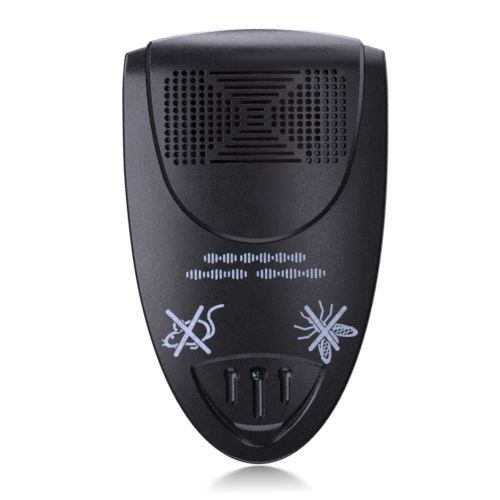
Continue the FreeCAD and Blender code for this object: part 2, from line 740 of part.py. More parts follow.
def rear_cover():
    skin = tapered(0, SHOULDER_RADIUS, PARTING_Y, REAR_DRAFT, REAR_CORNER_RADIUS, 0)
    skin = skin.makeFillet(REAR_EDGE_RADIUS, edges_where(skin, lambda p: abs(p.y) < 1e-6))
    skin = skin.cut(tapered(WALL, SHOULDER_RADIUS, PARTING_Y - 0.01,
                            WALL + REAR_DRAFT, REAR_CORNER_RADIUS, -WALL))
    tongue = prism(shield_wire(TONGUE_OUTER_INSET), PARTING_Y - TONGUE_HEIGHT, PARTING_Y + 1)
    tongue = tongue.cut(prism(shield_wire(TONGUE_INNER_INSET), FAR_Y, 0))
    stow_end_y = -STOW_DEPTH - STOW_WALL
    stow_half = BLADE_X + STOW_HALF_WIDTH + STOW_WALL
    solids = [tongue]
    solids += [rod_y(CASE_BOSS_R, x, z, CASE_POST_END_Y + PILOT_GAP, -WALL / 2)
               for x, z in sides_of(CASE_SCREWS)]
    solids += both_sides(box(OPENING_HALF_X, SADDLE_END_X, SADDLE_FRONT_Y, -WALL / 2,
                             -SADDLE_HALF_Z, SADDLE_HALF_Z))
    solids += both_sides(rod_y(BRACKET_BOSS_R, BRACKET_SCREW_X, 0, BRACKET_BACK_Y, -WALL / 2))
    solids.append(box(-stow_half, stow_half, stow_end_y, -WALL / 2,
                      STOW_LOW_Z - STOW_WALL, -SADDLE_HALF_Z))
    solids.append(box(-SCOOP_HALF_X - WALL, SCOOP_HALF_X + WALL, -SCOOP_DEPTH - WALL, -WALL / 2,
                      SCOOP_Z - SCOOP_BLOCK_HALF_Z, SCOOP_Z + SCOOP_BLOCK_HALF_Z))
    cover = fuse_all([skin] + solids)

    stow = box(BLADE_X - STOW_HALF_WIDTH, BLADE_X + STOW_HALF_WIDTH, -STOW_DEPTH, 1,
               STOW_LOW_Z, 0)
    notch = rod_x(JOURNAL_R + JOURNAL_GAP, 0, SADDLE_END_X + 0.5, PIVOT_Y, 0)
    notch = notch.fuse(box(0, SADDLE_END_X + 0.5, SADDLE_FRONT_Y - 1, PIVOT_Y,
                           -JOURNAL_R - JOURNAL_GAP, JOURNAL_R + JOURNAL_GAP))
    cuts = both_sides(stow) + both_sides(notch)
    cuts.append(box(-OPENING_HALF_X, OPENING_HALF_X, -WALL - 1, 1,
                    -OPENING_HALF_Z, OPENING_HALF_Z))
    cuts.append(rod_x(SCOOP_RADIUS, -SCOOP_HALF_X, SCOOP_HALF_X, SCOOP_RADIUS - SCOOP_DEPTH,
                      SCOOP_Z))
    for x, z in sides_of(CASE_SCREWS):
        cuts.append(rod_y(CASE_WELL_R, x, z, CASE_SEAT_Y, 1))
        cuts.append(rod_y(CASE_CLEAR_R, x, z, FAR_Y, 0))
    cuts += both_sides(rod_y(SMALL_SHANK_R + PILOT_GAP, BRACKET_SCREW_X, 0,
                             FAR_Y, BRACKET_PILOT_END_Y))
    cuts += [vent(VENT_TOP_Z - i * VENT_PITCH) for i in range(VENT_COUNT)]
    cuts.append(box(-LABEL_HALF_X - FIT, LABEL_HALF_X + FIT, -LABEL_SUNK, 1,
                    LABEL_LOW_Z - FIT, LABEL_HIGH_Z + FIT))
    return cover.cut(cuts)


def rating_label():
    label = box(-LABEL_HALF_X, LABEL_HALF_X, -LABEL_SUNK, LABEL_THICK - LABEL_SUNK,
                LABEL_LOW_Z, LABEL_HIGH_Z)
    return label.makeFillet(LABEL_CORNER_R, upright_edges(label, lambda c: True))


# ======================================================== screws

def screw(x, z, seat_y, head, shank_r, length):
    """Cross-recess pan-head screw driven from the rear, with a pointed tip. The head
    is given as its radius and height."""
    head_r, head_height = head
    top = seat_y + head_height
    tip = seat_y - length
    body = turned([(0, tip), (shank_r * 0.35, tip), (shank_r, tip + shank_r), (shank_r, seat_y),
                   (head_r, seat_y), (head_r, seat_y + head_height * 0.55),
                   (head_r * 0.82, top - head_height * 0.1), (head_r * 0.6, top), (0, top)], x, z)
    arm = head_r * 0.55
    slot = head_r * 0.13
    depth = head_height * 0.6
    return body.cut([box(x - arm, x + arm, top - depth, top + 1, z - slot, z + slot),
                     box(x - slot, x + slot, top - depth, top + 1, z - arm, z + arm)])


def board_screw_places():
    return sides_of([(BOARD_SCREW_X, BOARD_SCREW_Z)]) + [(0.0, BOARD_LOW_SCREW_Z)]


def case_screws():
    return Part.makeCompound([screw(x, z, CASE_SEAT_Y, CASE_HEAD, SHANK_R, CASE_SCREW_LENGTH)
                              for x, z in sides_of(CASE_SCREWS)])


def board_screws():
    return Part.makeCompound([screw(x, z, BOARD_BACK_Y, SMALL_HEAD, SMALL_SHANK_R, BOARD_SCREW_LENGTH)
                              for x, z in board_screw_places()])


def clamp_screws():
    seat = FLANGE_BACK_Y + CLAMP_THICK
    return Part.makeCompound([screw(x, z, seat, SMALL_HEAD, SMALL_SHANK_R, CLAMP_SCREW_LENGTH)
                              for x, z in sides_of([(CLAMP_POST_X, SPEAKER_Z)])])


def bracket_screws():
    """Screws that hold the plug bracket, driven from inside towards the wall side."""
    seat = BRACKET_BACK_Y - BRACKET_THICK
    screws = [screw(x, 0, 0, SMALL_HEAD, SMALL_SHANK_R, BRACKET_SCREW_LENGTH)
              for x in (-BRACKET_SCREW_X, BRACKET_SCREW_X)]
    for each in screws:
        each.rotate(V(0, 0, 0), V(0, 0, 1), 180)
        each.translate(V(0, seat, 0))
    return Part.makeCompound(screws)


# ======================================================== folding plug

def blade(x):
    """Flat blade with a bevelled tip and a hole, and a narrow heel whose end is
    an arc about the pivot."""
    half = BLADE_WIDTH / 2
    x0 = x - BLADE_THICK / 2
    x1 = x + BLADE_THICK / 2
    body = polygon_prism([(PIVOT_Y, -half), (BLADE_TIP_Y - BLADE_BEVEL, -half),
                          (BLADE_TIP_Y, BLADE_BEVEL - half), (BLADE_TIP_Y, half - BLADE_BEVEL),
                          (BLADE_TIP_Y - BLADE_BEVEL, half), (PIVOT_Y, half)], x0, x1)
    heel = rod_x(HEEL_R, x0, x1, PIVOT_Y, 0)
    heel = heel.common(box(x0, x1, PIVOT_Y - HEEL_R - 1, PIVOT_Y, -HEEL_HALF, HEEL_HALF))
    tip = [e for e in body.Edges
           if e.CenterOfMass.y > BLADE_TIP_Y - 0.01 and abs(e.tangentAt(e.FirstParameter).z) > 0.9]
    body = body.makeChamfer(BLADE_TIP_THIN, tip)
    hole = rod_x(BLADE_HOLE_R, x0 - 1, x1 + 1, BLADE_HOLE_Y, 0)
    return body.fuse(heel).removeSplitter().cut(hole)


def blade_left():
    return blade(-BLADE_X)


def blade_right():
    return blade(BLADE_X)


def plug_carrier():
    """Moulded barrel with a journal at each end; the blades are moulded in."""
    barrel = rod_x(BARREL_R, -BARREL_HALF, BARREL_HALF, PIVOT_Y, 0)
    barrel = barrel.makeChamfer(BARREL_BEVEL, round_edges(barrel))
    journal = rod_x(JOURNAL_R, -JOURNAL_END, JOURNAL_END, PIVOT_Y, 0)
    return barrel.fuse(journal).cut([blade_left(), blade_right()])


def plug_bracket():
    """Plate that closes the plug's bearings and carries the contact springs."""
    front = BRACKET_BACK_Y - BRACKET_THICK
    plate = box(-BRACKET_HALF_X, BRACKET_HALF_X, front, BRACKET_BACK_Y,
                BRACKET_LOW_Z, BRACKET_HIGH_Z)
    arms = box(-BRACKET_ARM_X, BRACKET_ARM_X, front, BRACKET_BACK_Y,
               -BRACKET_ARM_HALF_Z, BRACKET_ARM_HALF_Z)
    finger = box(OPENING_HALF_X + FINGER_GAP, BRACKET_HALF_X - FINGER_GAP, BRACKET_BACK_Y,
                 PIVOT_Y - JOURNAL_R - JOURNAL_GAP, -JOURNAL_R + FIT, JOURNAL_R - FIT)
    bracket = fuse_all([plate, arms] + both_sides(finger)).removeSplitter()
    return bracket.cut(both_sides(rod_y(SMALL_SHANK_R + SCREW_CLEAR, BRACKET_SCREW_X, 0, FAR_Y, 0)))


def contact_spring(x):
    """Bowed strip whose crest faces the blade's heel, with a solder tail above."""
    crest = PIVOT_Y - HEEL_R - SPRING_GAP - SPRING_THICK
    base = BRACKET_BACK_Y
    under = [(base, 13.2), (base, 5.5), (crest, 1.0), (crest, -1.0), (base, -4.6)]
    over = [(y + SPRING_THICK, z) for y, z in reversed(under)]
    return polygon_prism(under + over, x - SPRING_WIDTH / 2, x + SPRING_WIDTH / 2)


def contact_spring_left():
    return contact_spring(-BLADE_X)


def contact_spring_right():
    return contact_spring(BLADE_X)


# ======================================================== speaker

def speaker_frame():
    """Moulded basket: a flange, a can behind it and a lip round the cone."""
    front = SEAT_Y + GASKET_THICK
    return turned([(FRAME_LIP_R, front), (SPEAKER_FLANGE_R, front),
                   (SPEAKER_FLANGE_R, FLANGE_BACK_Y), (SPEAKER_CAN_R, FLANGE_BACK_Y),
                   (SPEAKER_CAN_R, SPEAKER_BACK_Y), (FRAME_BORE_R, SPEAKER_BACK_Y),
                   (FRAME_BORE_R, front + FRAME_LIP_THICK)], 0, SPEAKER_Z)


def speaker_gasket():
    back = SEAT_Y + GASKET_THICK
    return turned([(GASKET_INNER_R, SEAT_Y), (SPEAKER_FLANGE_R, SEAT_Y),
                   (SPEAKER_FLANGE_R, back), (GASKET_INNER_R, back)], 0, SPEAKER_Z)


def speaker_cone():
    """Shallow paper cone with a small dust dome over its neck."""
    return turned([(0, DOME_Y), (0.4 * CONE_NECK_R, DOME_Y + 0.3),
                   (0.8 * CONE_NECK_R, DOME_Y + 1.1), (CONE_NECK_R, CONE_NECK_Y),
                   (CONE_EDGE_R, CONE_EDGE_Y), (CONE_EDGE_R, CONE_EDGE_Y + CONE_THICK),
                   (CONE_NECK_R, PIEZO_FRONT_Y), (0, PIEZO_FRONT_Y)], 0, SPEAKER_Z)


def piezo_plate():
    return rod_y(PIEZO_R, 0, SPEAKER_Z, PIEZO_FRONT_Y, PIEZO_FRONT_Y + PIEZO_THICK)


def piezo_ceramic():
    front = PIEZO_FRONT_Y + PIEZO_THICK
    return rod_y(CERAMIC_R, 0, SPEAKER_Z, front, front + PIEZO_THICK)


def speaker_back():
    """Disc that closes the can, with a ring of air holes."""
    plate = rod_y(FRAME_BORE_R - PILOT_GAP, 0, SPEAKER_Z, SPEAKER_BACK_Y - BACK_THICK,
                  SPEAKER_BACK_Y)
    holes = []
    for i in range(AIR_HOLES):
        angle = 2 * math.pi * (i + 0.5) / AIR_HOLES
        holes.append(rod_y(AIR_HOLE_R, AIR_RING_R * math.cos(angle),
                           SPEAKER_Z + AIR_RING_R * math.sin(angle), FAR_Y, 0))
    return plate.cut(holes)


def speaker_terminals():
    """Two bent solder tags on the speaker's back."""
    foot = box(TAG_X - TAG_HALF, TAG_X + TAG_HALF, SPEAKER_BACK_Y, SPEAKER_BACK_Y + TAG_THICK,
               TAG_Z, TAG_Z + TAG_LENGTH)
    tag = box(TAG_X - TAG_HALF, TAG_X + TAG_HALF, SPEAKER_BACK_Y, SPEAKER_BACK_Y + TAG_RISE,
              TAG_Z - TAG_THICK, TAG_Z)
    return Part.makeCompound(both_sides(foot.fuse(tag)))


def speaker_clamp():
    """Steel ring with two screwed ears that holds the speaker against its seat."""
    y0 = FLANGE_BACK_Y
    y1 = FLANGE_BACK_Y + CLAMP_THICK
    ring = rod_y(CLAMP_RING_R, 0, SPEAKER_Z, y0, y1)
    ear = box(0, CLAMP_POST_X, y0, y1, SPEAKER_Z - CLAMP_EAR_HALF, SPEAKER_Z + CLAMP_EAR_HALF)
    ear = ear.fuse(rod_y(CLAMP_EAR_HALF, CLAMP_POST_X, SPEAKER_Z, y0, y1))
    clamp = fuse_all([ring] + both_sides(ear)).removeSplitter()
    holes = both_sides(rod_y(SMALL_SHANK_R + SCREW_CLEAR, CLAMP_POST_X, SPEAKER_Z, FAR_Y, 0))
    return clamp.cut([rod_y(SPEAKER_CAN_R + SCREW_CLEAR, 0, SPEAKER_Z, FAR_Y, 0)] + holes)


# ======================================================== lamp

def lamp_lens():
    """Small domed lamp with a flanged base."""
    dome = Part.makeSphere(LAMP_R, V(LAMP_X, LAMP_NOSE_Y + LAMP_R, LAMP_Z))
    stem = rod_y(LAMP_R, LAMP_X, LAMP_Z, LAMP_NOSE_Y + LAMP_R, LAMP_BASE_Y)
    flange = rod_y(LAMP_FLANGE_R, LAMP_X, LAMP_Z, LAMP_FLANGE_Y, LAMP_BASE_Y)
    return fuse_all([dome, stem, flange]).removeSplitter()


def lamp_spacer():
    """Sleeve that holds the lamp at its height above the board."""
    ring = rod_y(SPACER_R, LAMP_X, LAMP_Z, LAMP_BASE_Y, BOARD_FRONT_Y)
    return ring.cut(rod_y(SPACER_BORE_R, LAMP_X, LAMP_Z, FAR_Y, 0))


def lead_places():
    return [LAMP_X + side * LEAD_PITCH / 2 for side in (-1, 1)]


def lamp_leads():
    return Part.makeCompound([rod_y(LEAD_R, x, LAMP_Z, LAMP_BASE_Y, BOARD_BACK_Y + LEAD_TAIL)
                              for x in lead_places()])


# ======================================================== circuit board

def main_board():
    corners = [(BOARD_HALF_X, BOARD_TOP_Z), (BOARD_HALF_X, BOARD_SIDE_END_Z),
               (BOARD_NECK_X, BOARD_NECK_Z), (BOARD_NECK_X, BOARD_LOW_Z)]
    right = [V(x, 0, z) for x, z in corners]
    left = [flip(p) for p in reversed(right)]
    board = prism(Part.makePolygon(right + left + right[:1]), BOARD_FRONT_Y, BOARD_BACK_Y)
    holes = [rod_y(BOARD_SCREW_HOLE_R, x, z, FAR_Y, 0) for x, z in board_screw_places()]
    holes += [rod_y(LAMP_HOLE_R, x, LAMP_Z, FAR_Y, 0) for x in lead_places()]
    return board.cut(holes)


def insulation_sheet():
    """Film on the board's back, between its solder side and the plug."""
    return box(-SHEET_HALF_X, SHEET_HALF_X, BOARD_BACK_Y, BOARD_BACK_Y + SHEET_THICK,
               SHEET_LOW_Z, BOARD_TOP_Z - 0.5)


def legs_y(places, radius, y0, y1):
    return [rod_y(radius, x, z, y0, y1) for x, z in places]


def electrolytic_capacitor(x, z):
    """Can with a crimped groove and two short leads, standing on the board's back."""
    y0 = BOARD_BACK_Y + 0.3
    can = turned([(0, y0), (3.7, y0), (4.0, y0 + 0.3), (4.0, y0 + 1.4), (3.7, y0 + 1.8),
                  (4.0, y0 + 2.2), (4.0, y0 + 10.7), (3.7, y0 + 11.0), (0, y0 + 11.0)], x, z)
    return fuse_all([can] + legs_y([(x - 1.6, z), (x + 1.6, z)], 0.3, BOARD_BACK_Y, y0 + 0.2))


def electrolytic_capacitors():
    return Part.makeCompound([electrolytic_capacitor(x, -33.5) for x in (-8.6, 8.6)])


def film_capacitor():
    body = box(-2.5, 3.5, -27.2, BOARD_FRONT_Y - 0.3, -24.0, -8.0)
    body = body.makeFillet(0.7, body.Edges)
    legs = legs_y([(0.5, -22.0), (0.5, -10.0)], 0.35, BOARD_FRONT_Y - 0.5, BOARD_FRONT_Y)
    return fuse_all([body] + legs)


def fuse_body():
    """Radial fuse in a round plastic case."""
    y0 = BOARD_BACK_Y + 0.4
    case = rod_y(4.0, 16.5, -16.0, y0, y0 + 7.4)
    case = case.makeFillet(0.6, [e for e in round_edges(case) if e.CenterOfMass.y > y0 + 1])
    return fuse_all([case] + legs_y([(14.0, -16.0), (19.0, -16.0)], 0.3, BOARD_BACK_Y, y0 + 0.2))


def varistor():
    """Dipped disc that stands on edge on the board's back."""
    disc = rod_x(3.8, -18.1, -14.9, BOARD_BACK_Y + 4.8, -16.0)
    disc = disc.makeFillet(1.4, round_edges(disc))
    legs = legs_y([(-16.5, -18.5), (-16.5, -13.5)], 0.3, BOARD_BACK_Y, BOARD_BACK_Y + 3.4)
    return fuse_all([disc] + legs)


def axial_part(length, radius, lead_r, lift):
    """Axial component along X, centred over the origin, its leads bent down -Y."""
    reach = length / 2 + 1.6
    body = rod_x(radius, -length / 2, length / 2, lift, 0)
    body = body.makeFillet(radius * 0.35, round_edges(body))
    lead = rod_x(lead_r, -reach, reach, lift, 0)
    knees = [Part.makeSphere(lead_r, V(x, lift, 0)) for x in (-reach, reach)]
    legs = [rod_y(lead_r, x, 0, 0, lift) for x in (-reach, reach)]
    return fuse_all([body, lead] + knees + legs)


def on_back(part, x, z, upright=False):
    if upright:
        part.rotate(V(0, 0, 0), V(0, 1, 0), 90)
    part.translate(V(x, BOARD_BACK_Y, z))
    return part


def on_front(part, x, z):
    part.rotate(V(0, 0, 0), V(0, 0, 1), 180)
    part.translate(V(x, BOARD_FRONT_Y, z))
    return part


def rectifier_diodes():
    return Part.makeCompound([on_back(axial_part(5.0, 1.35, 0.4, 1.5), x, -46.6, True)
                              for x in (-8.8, -5.0, 5.0, 8.8)])


def zener_diode():
    return on_front(axial_part(3.8, 0.95, 0.25, 1.1), 8.5, -33.8)


def resistors():
    places = [(-8.5, -30.8), (-8.5, -33.8), (0.0, -28.4), (0.0, -31.4), (8.5, -30.8)]
    return Part.makeCompound([on_front(axial_part(5.6, 1.15, 0.28, 1.3), x, z)
                              for x, z in places])


def timer_chip():
    """Eight-legged chip on the board's back, between the two large capacitors."""
    lift = 0.7
    body = box(-3.1, 3.1, BOARD_BACK_Y + lift, BOARD_BACK_Y + lift + 3.3, -38.6, -29.2)
    body = body.makeChamfer(0.35, [e for e in body.Edges if e.CenterOfMass.y > BOARD_BACK_Y + 3])
    body = body.cut(rod_y(0.8, 0, -29.2, BOARD_BACK_Y + lift + 2.9, 0))
    legs = []
    for i in range(4):
        z = -33.9 + (i - 1.5) * LEAD_PITCH
        leg = box(3.1, 3.8, BOARD_BACK_Y + 1.9, BOARD_BACK_Y + 2.2, z - 0.6, z + 0.6)
        leg = leg.fuse(box(3.55, 3.8, BOARD_BACK_Y, BOARD_BACK_Y + 2.2, z - 0.3, z + 0.3))
        legs += both_sides(leg)
    return fuse_all([body] + legs).removeSplitter()


def drive_transistor(x, z):
    """D-shaped transistor on three legs, on the board's front."""
    y1 = BOARD_FRONT_Y - 1.8
    body = rod_y(2.35, x, z, y1 - 4.7, y1)
    body = body.cut(box(x - 3, x + 3, FAR_Y, 0, z - 3, z - 1.3))
    legs = legs_y([(x - 1.27, z), (x, z), (x + 1.27, z)], 0.25, y1 - 0.1, BOARD_FRONT_Y)
    return fuse_all([body] + legs)


def drive_transistors():
    return Part.makeCompound([drive_transistor(x, -25.0) for x in (-9.2, 9.2)])


def speaker_connector():
    """Two-pole socket for the speaker wires, on the board's front edge."""
    body = box(-3.8, 3.8, BOARD_FRONT_Y - 6.0, BOARD_FRONT_Y, -6.9, -1.4)
    body = body.makeChamfer(0.4, [e for e in body.Edges if e.CenterOfMass.y < -23])
    return body.cut([rod_y(0.7, x, -4.1, -25.0, -21.6) for x in (-1.25, 1.25)])


# ======================================================== coils

def coil_bobbin():
    y0 = BOARD_FRONT_Y - 9.5
    ends = [rod_y(7.4, COIL_X, COIL_Z, y0, y0 + 0.9),
            rod_y(7.4, COIL_X, COIL_Z, BOARD_FRONT_Y - 0.9, BOARD_FRONT_Y)]
    tube = rod_y(3.5, COIL_X, COIL_Z, y0, BOARD_FRONT_Y)
    return fuse_all(ends + [tube]).cut(rod_y(2.6, COIL_X, COIL_Z, FAR_Y, 0))


def coil_winding():
    y0 = BOARD_FRONT_Y - 8.6
    ring = rod_y(6.7, COIL_X, COIL_Z, y0, BOARD_FRONT_Y - 0.9)
    return ring.cut(rod_y(3.5, COIL_X, COIL_Z, FAR_Y, 0))


def coil_core():
    core = rod_y(2.5, COIL_X, COIL_Z, BOARD_FRONT_Y - 9.9, BOARD_FRONT_Y)
    return core.makeChamfer(0.3, round_edges(core))


def about_transformer(half_x, y0, y1, half_z):
    return box(TRANSFORMER_X - half_x, TRANSFORMER_X + half_x, y0, y1,
               TRANSFORMER_Z - half_z, TRANSFORMER_Z + half_z)


def transformer_core():
    core = about_transformer(6.5, -26.6, -21.6, 6.0)
    for side in (-1, 1):
        window = about_transformer(1.5, -27, -21, 4.3)
        window.translate(V(side * 3.4, 0, 0))
        core = core.cut(window)
    return core


def transformer_bobbin():
    """Square tube round the core's middle leg, two end plates and two pin rails."""
    tube = about_transformer(2.5, -27.3, -20.9, 4.2)
    ends = []
    for side in (-1, 1):
        plate = about_transformer(4.7, -28.0, -20.2, 0.35)
        plate.translate(V(0, 0, side * 3.85))
        rail = about_transformer(6.0, -20.9, BOARD_FRONT_Y - 0.4, 1.6)
        rail.translate(V(0, 0, side * 5.6))
        link = about_transformer(4.7, -20.9, -20.2, 0.9)
        link.translate(V(0, 0, side * 4.4))
        pins = [rod_y(0.3, TRANSFORMER_X + dx, TRANSFORMER_Z + side * 5.6,
                      BOARD_FRONT_Y - 0.6, BOARD_FRONT_Y) for dx in (-4, 0, 4)]
        ends += [plate, rail, link] + pins
    bobbin = fuse_all([tube] + ends).removeSplitter()
    return bobbin.cut(about_transformer(1.9, -26.6, -21.6, 7.0))


def transformer_winding():
    block = about_transformer(4.4, -27.8, -20.4, 3.5)
    core = transformer_core()
    return block.cut([about_transformer(2.5, -27.3, -20.9, 5.0), core])


# ======================================================== wires

def supply_wire(side):
    """Wire from a contact spring's tail, round the bracket, to its board pad."""
    y = BRACKET_BACK_Y - WIRE_R - 0.03
    return cable([(side * 5.6, y, 11.9), (side * 8.5, y - 0.1, 12.1),
                  (side * 12.0, y - 0.6, 11.9), (side * 14.5, -14.2, 10.3),
                  (side * 15.0, -14.5, 6.0), (side * WIRE_PAD_X, -14.75, 0.5),
                  (side * WIRE_PAD_X, -14.8, -5.0), (side * WIRE_PAD_X, -15.0, -7.5),
                  (side * WIRE_PAD_X, -15.25, WIRE_PAD_Z)], WIRE_R)


def live_wire():
    return supply_wire(1)


def neutral_wire():
    return supply_wire(-1)


def speaker_wires():
    """Twin lead from the speaker's solder tags down to the board's socket."""
    runs = [cable([(side * TAG_X, SPEAKER_BACK_Y + 1.4, 10.7), (side * 2.7, -18.6, 8.6),
                   (side * 1.8, -20.4, 6.2), (side * 1.3, -23.6, 4.0),
                   (side * 1.25, -27.4, 0.6), (side * 1.25, -27.9, -2.2),
                   (side * 1.25, -27.34, -3.54), (side * 1.25, -26.0, -4.1),
                   (side * 1.25, -24.2, -4.1), (side * 1.25, -22.2, -4.1)], 0.5)
            for side in (-1, 1)]
    return Part.makeCompound(runs)


# ======================================================== hand out

NODES = {
    "front_shell": front_shell,
    "speaker_cover": speaker_cover,
    "rear_cover": rear_cover,
    "rating_label": rating_label,
    "case_screws": case_screws,
    "plug_carrier": plug_carrier,
    "blade_left": blade_left,
    "blade_right": blade_right,
    "plug_bracket": plug_bracket,
    "bracket_screws": bracket_screws,
    "contact_spring_left": contact_spring_left,
    "contact_spring_right": contact_spring_right,
    "speaker_frame": speaker_frame,
    "speaker_gasket": speaker_gasket,
    "speaker_cone": speaker_cone,
    "piezo_plate": piezo_plate,
    "piezo_ceramic": piezo_ceramic,
    "speaker_back": speaker_back,
    "speaker_terminals": speaker_terminals,
    "speaker_clamp": speaker_clamp,
    "clamp_screws": clamp_screws,
    "lamp_lens": lamp_lens,
    "lamp_spacer": lamp_spacer,
    "lamp_leads": lamp_leads,
    "main_board": main_board,
    "board_screws": board_screws,
    "insulation_sheet": insulation_sheet,
    "electrolytic_capacitors": electrolytic_capacitors,
    "film_capacitor": film_capacitor,
    "fuse": fuse_body,
    "varistor": varistor,
    "rectifier_diodes": rectifier_diodes,
    "zener_diode": zener_diode,
    "resistors": resistors,
    "timer_chip": timer_chip,
    "drive_transistors": drive_transistors,
    "speaker_connector": speaker_connector,
    "coil_bobbin": coil_bobbin,
    "coil_winding": coil_winding,
    "coil_core": coil_core,
    "transformer_core": transformer_core,
    "transformer_bobbin": transformer_bobbin,
    "transformer_winding": transformer_winding,
    "live_wire": live_wire,
    "neutral_wire": neutral_wire,
    "speaker_wires": speaker_wires,
}

os.makedirs("parts", exist_ok=True)
for name, make in NODES.items():
    make().exportStep("parts/" + name + ".step")
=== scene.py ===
import json
import math

import bmesh
import bpy
import numpy
from mathutils import Matrix, Vector
from mathutils.bvhtree import BVHTree


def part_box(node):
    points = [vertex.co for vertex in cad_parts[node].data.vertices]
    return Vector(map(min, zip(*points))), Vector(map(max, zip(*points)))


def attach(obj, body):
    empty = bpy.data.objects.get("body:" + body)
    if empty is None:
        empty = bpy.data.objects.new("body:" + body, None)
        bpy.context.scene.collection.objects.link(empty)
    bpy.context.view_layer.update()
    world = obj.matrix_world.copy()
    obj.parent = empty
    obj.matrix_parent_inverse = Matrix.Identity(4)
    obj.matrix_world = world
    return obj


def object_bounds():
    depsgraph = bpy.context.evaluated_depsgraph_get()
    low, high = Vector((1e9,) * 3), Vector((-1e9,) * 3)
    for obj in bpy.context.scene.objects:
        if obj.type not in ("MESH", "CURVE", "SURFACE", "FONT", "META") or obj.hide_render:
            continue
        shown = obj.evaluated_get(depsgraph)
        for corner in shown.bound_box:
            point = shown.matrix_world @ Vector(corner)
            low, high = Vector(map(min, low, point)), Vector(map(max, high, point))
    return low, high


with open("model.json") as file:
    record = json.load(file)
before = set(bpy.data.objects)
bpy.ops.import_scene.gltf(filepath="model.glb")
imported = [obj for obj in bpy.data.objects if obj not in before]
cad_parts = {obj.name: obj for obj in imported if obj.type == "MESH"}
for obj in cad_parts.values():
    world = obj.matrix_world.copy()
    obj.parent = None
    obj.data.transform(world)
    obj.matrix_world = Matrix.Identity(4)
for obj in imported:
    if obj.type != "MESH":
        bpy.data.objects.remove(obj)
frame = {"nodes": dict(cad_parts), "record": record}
cad_low, cad_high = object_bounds()
nodes = frame["nodes"]

# Lengths in the names below are in millimetres unless a comment says metres.
MM = 0.001

# Noise from the texture node lies mostly between these two values.
NOISE_LOW = 0.3
NOISE_HIGH = 0.7

# Shading normals this far apart (as a dot product) are open surface and full edge.
EDGE_NONE = 0.995
EDGE_FULL = 0.93


# ======================================================== shader building

class Finish:
    """One material, built up from procedural nodes."""

    def __init__(self, name):
        self.material = bpy.data.materials.new(name)
        self.material.use_nodes = True
        self.tree = self.material.node_tree
        self.surface = self.tree.nodes["Principled BSDF"]
        self.coords = self.node("ShaderNodeTexCoord").outputs["Object"]

    def node(self, kind, **settings):
        made = self.tree.nodes.new(kind)
        for key, value in settings.items():
            setattr(made, key, value)
        return made

    def link(self, source, target):
        self.tree.links.new(source, target)

    def feed(self, target, value):
        """Sets a socket from a number, a colour or another socket."""
        if isinstance(value, bpy.types.NodeSocket):
            self.link(value, target)
        else:
            target.default_value = value

    def set(self, **values):
        for key, value in values.items():
            self.feed(self.surface.inputs[key.replace("_", " ")], value)
        return self

    def stretched(self, scale):
        """Object coordinates scaled along each axis."""
        mapping = self.node("ShaderNodeMapping")
        mapping.inputs["Scale"].default_value = scale
        self.link(self.coords, mapping.inputs["Vector"])
        return mapping.outputs["Vector"]

    def noise(self, size_mm, detail=3.0, roughness=0.55, coords=None):
        """Noise whose features are about size_mm across."""
        made = self.node("ShaderNodeTexNoise")
        self.link(coords or self.coords, made.inputs["Vector"])
        made.inputs["Scale"].default_value = 1000.0 / size_mm
        made.inputs["Detail"].default_value = detail
        made.inputs["Roughness"].default_value = roughness
        return made.outputs["Fac"]

    def grains(self, size_mm):
        """Rounded cells about size_mm across, as spark-eroded moulds leave."""
        made = self.node("ShaderNodeTexVoronoi", feature="SMOOTH_F1")
        self.link(self.coords, made.inputs["Vector"])
        made.inputs["Scale"].default_value = 1000.0 / size_mm
        made.inputs["Randomness"].default_value = 1.0
        made.inputs["Smoothness"].default_value = 0.6
        return made.outputs["Distance"]

    def math(self, operation, a, b=0.0, clamp=False):
        made = self.node("ShaderNodeMath", operation=operation, use_clamp=clamp)
        self.feed(made.inputs[0], a)
        self.feed(made.inputs[1], b)
        return made.outputs[0]

    def distance(self, a, b):
        """Length of the hypotenuse over a and b."""
        squares = self.math("ADD", self.math("POWER", a, 2.0), self.math("POWER", b, 2.0))
        return self.math("POWER", squares, 0.5)

    def remap(self, value, low, high, new_low, new_high):
        made = self.node("ShaderNodeMapRange")
        for key, number in (("From Min", low), ("From Max", high),
                            ("To Min", new_low), ("To Max", new_high)):
            made.inputs[key].default_value = number
        self.link(value, made.inputs["Value"])
        return made.outputs["Result"]

    def spread(self, noise, new_low, new_high):
        """Noise's usual span mapped to a new one."""
        return self.remap(noise, NOISE_LOW, NOISE_HIGH, new_low, new_high)

    def blend(self, factor, a, b):
        """Colour mix."""
        made = self.node("ShaderNodeMix", data_type="RGBA")
        self.feed(made.inputs["Factor"], factor)
        self.feed(made.inputs[6], a)
        self.feed(made.inputs[7], b)
        return made.outputs[2]

    def split(self):
        made = self.node("ShaderNodeSeparateXYZ")
        self.link(self.coords, made.inputs[0])
        return made.outputs["X"], made.outputs["Y"], made.outputs["Z"]

    def soft_edges(self, radius_mm):
        """Shading normal that rounds sharp edges off."""
        made = self.node("ShaderNodeBevel", samples=6)
        made.inputs["Radius"].default_value = radius_mm * MM
        return made.outputs["Normal"]

    def edge_mask(self, radius_mm):
        """1 along edges and 0 on open surfaces."""
        rounded = self.soft_edges(radius_mm)
        plain = self.node("ShaderNodeNewGeometry").outputs["Normal"]
        dot = self.node("ShaderNodeVectorMath", operation="DOT_PRODUCT")
        self.link(rounded, dot.inputs[0])
        self.link(plain, dot.inputs[1])
        return self.remap(dot.outputs["Value"], EDGE_NONE, EDGE_FULL, 0.0, 1.0)

    def bump(self, height, depth_mm, strength=1.0, normal=None):
        made = self.node("ShaderNodeBump")
        made.inputs["Strength"].default_value = strength
        made.inputs["Distance"].default_value = depth_mm * MM
        self.link(height, made.inputs["Height"])
        if normal is not None:
            self.link(normal, made.inputs["Normal"])
        self.link(made.outputs["Normal"], self.surface.inputs["Normal"])


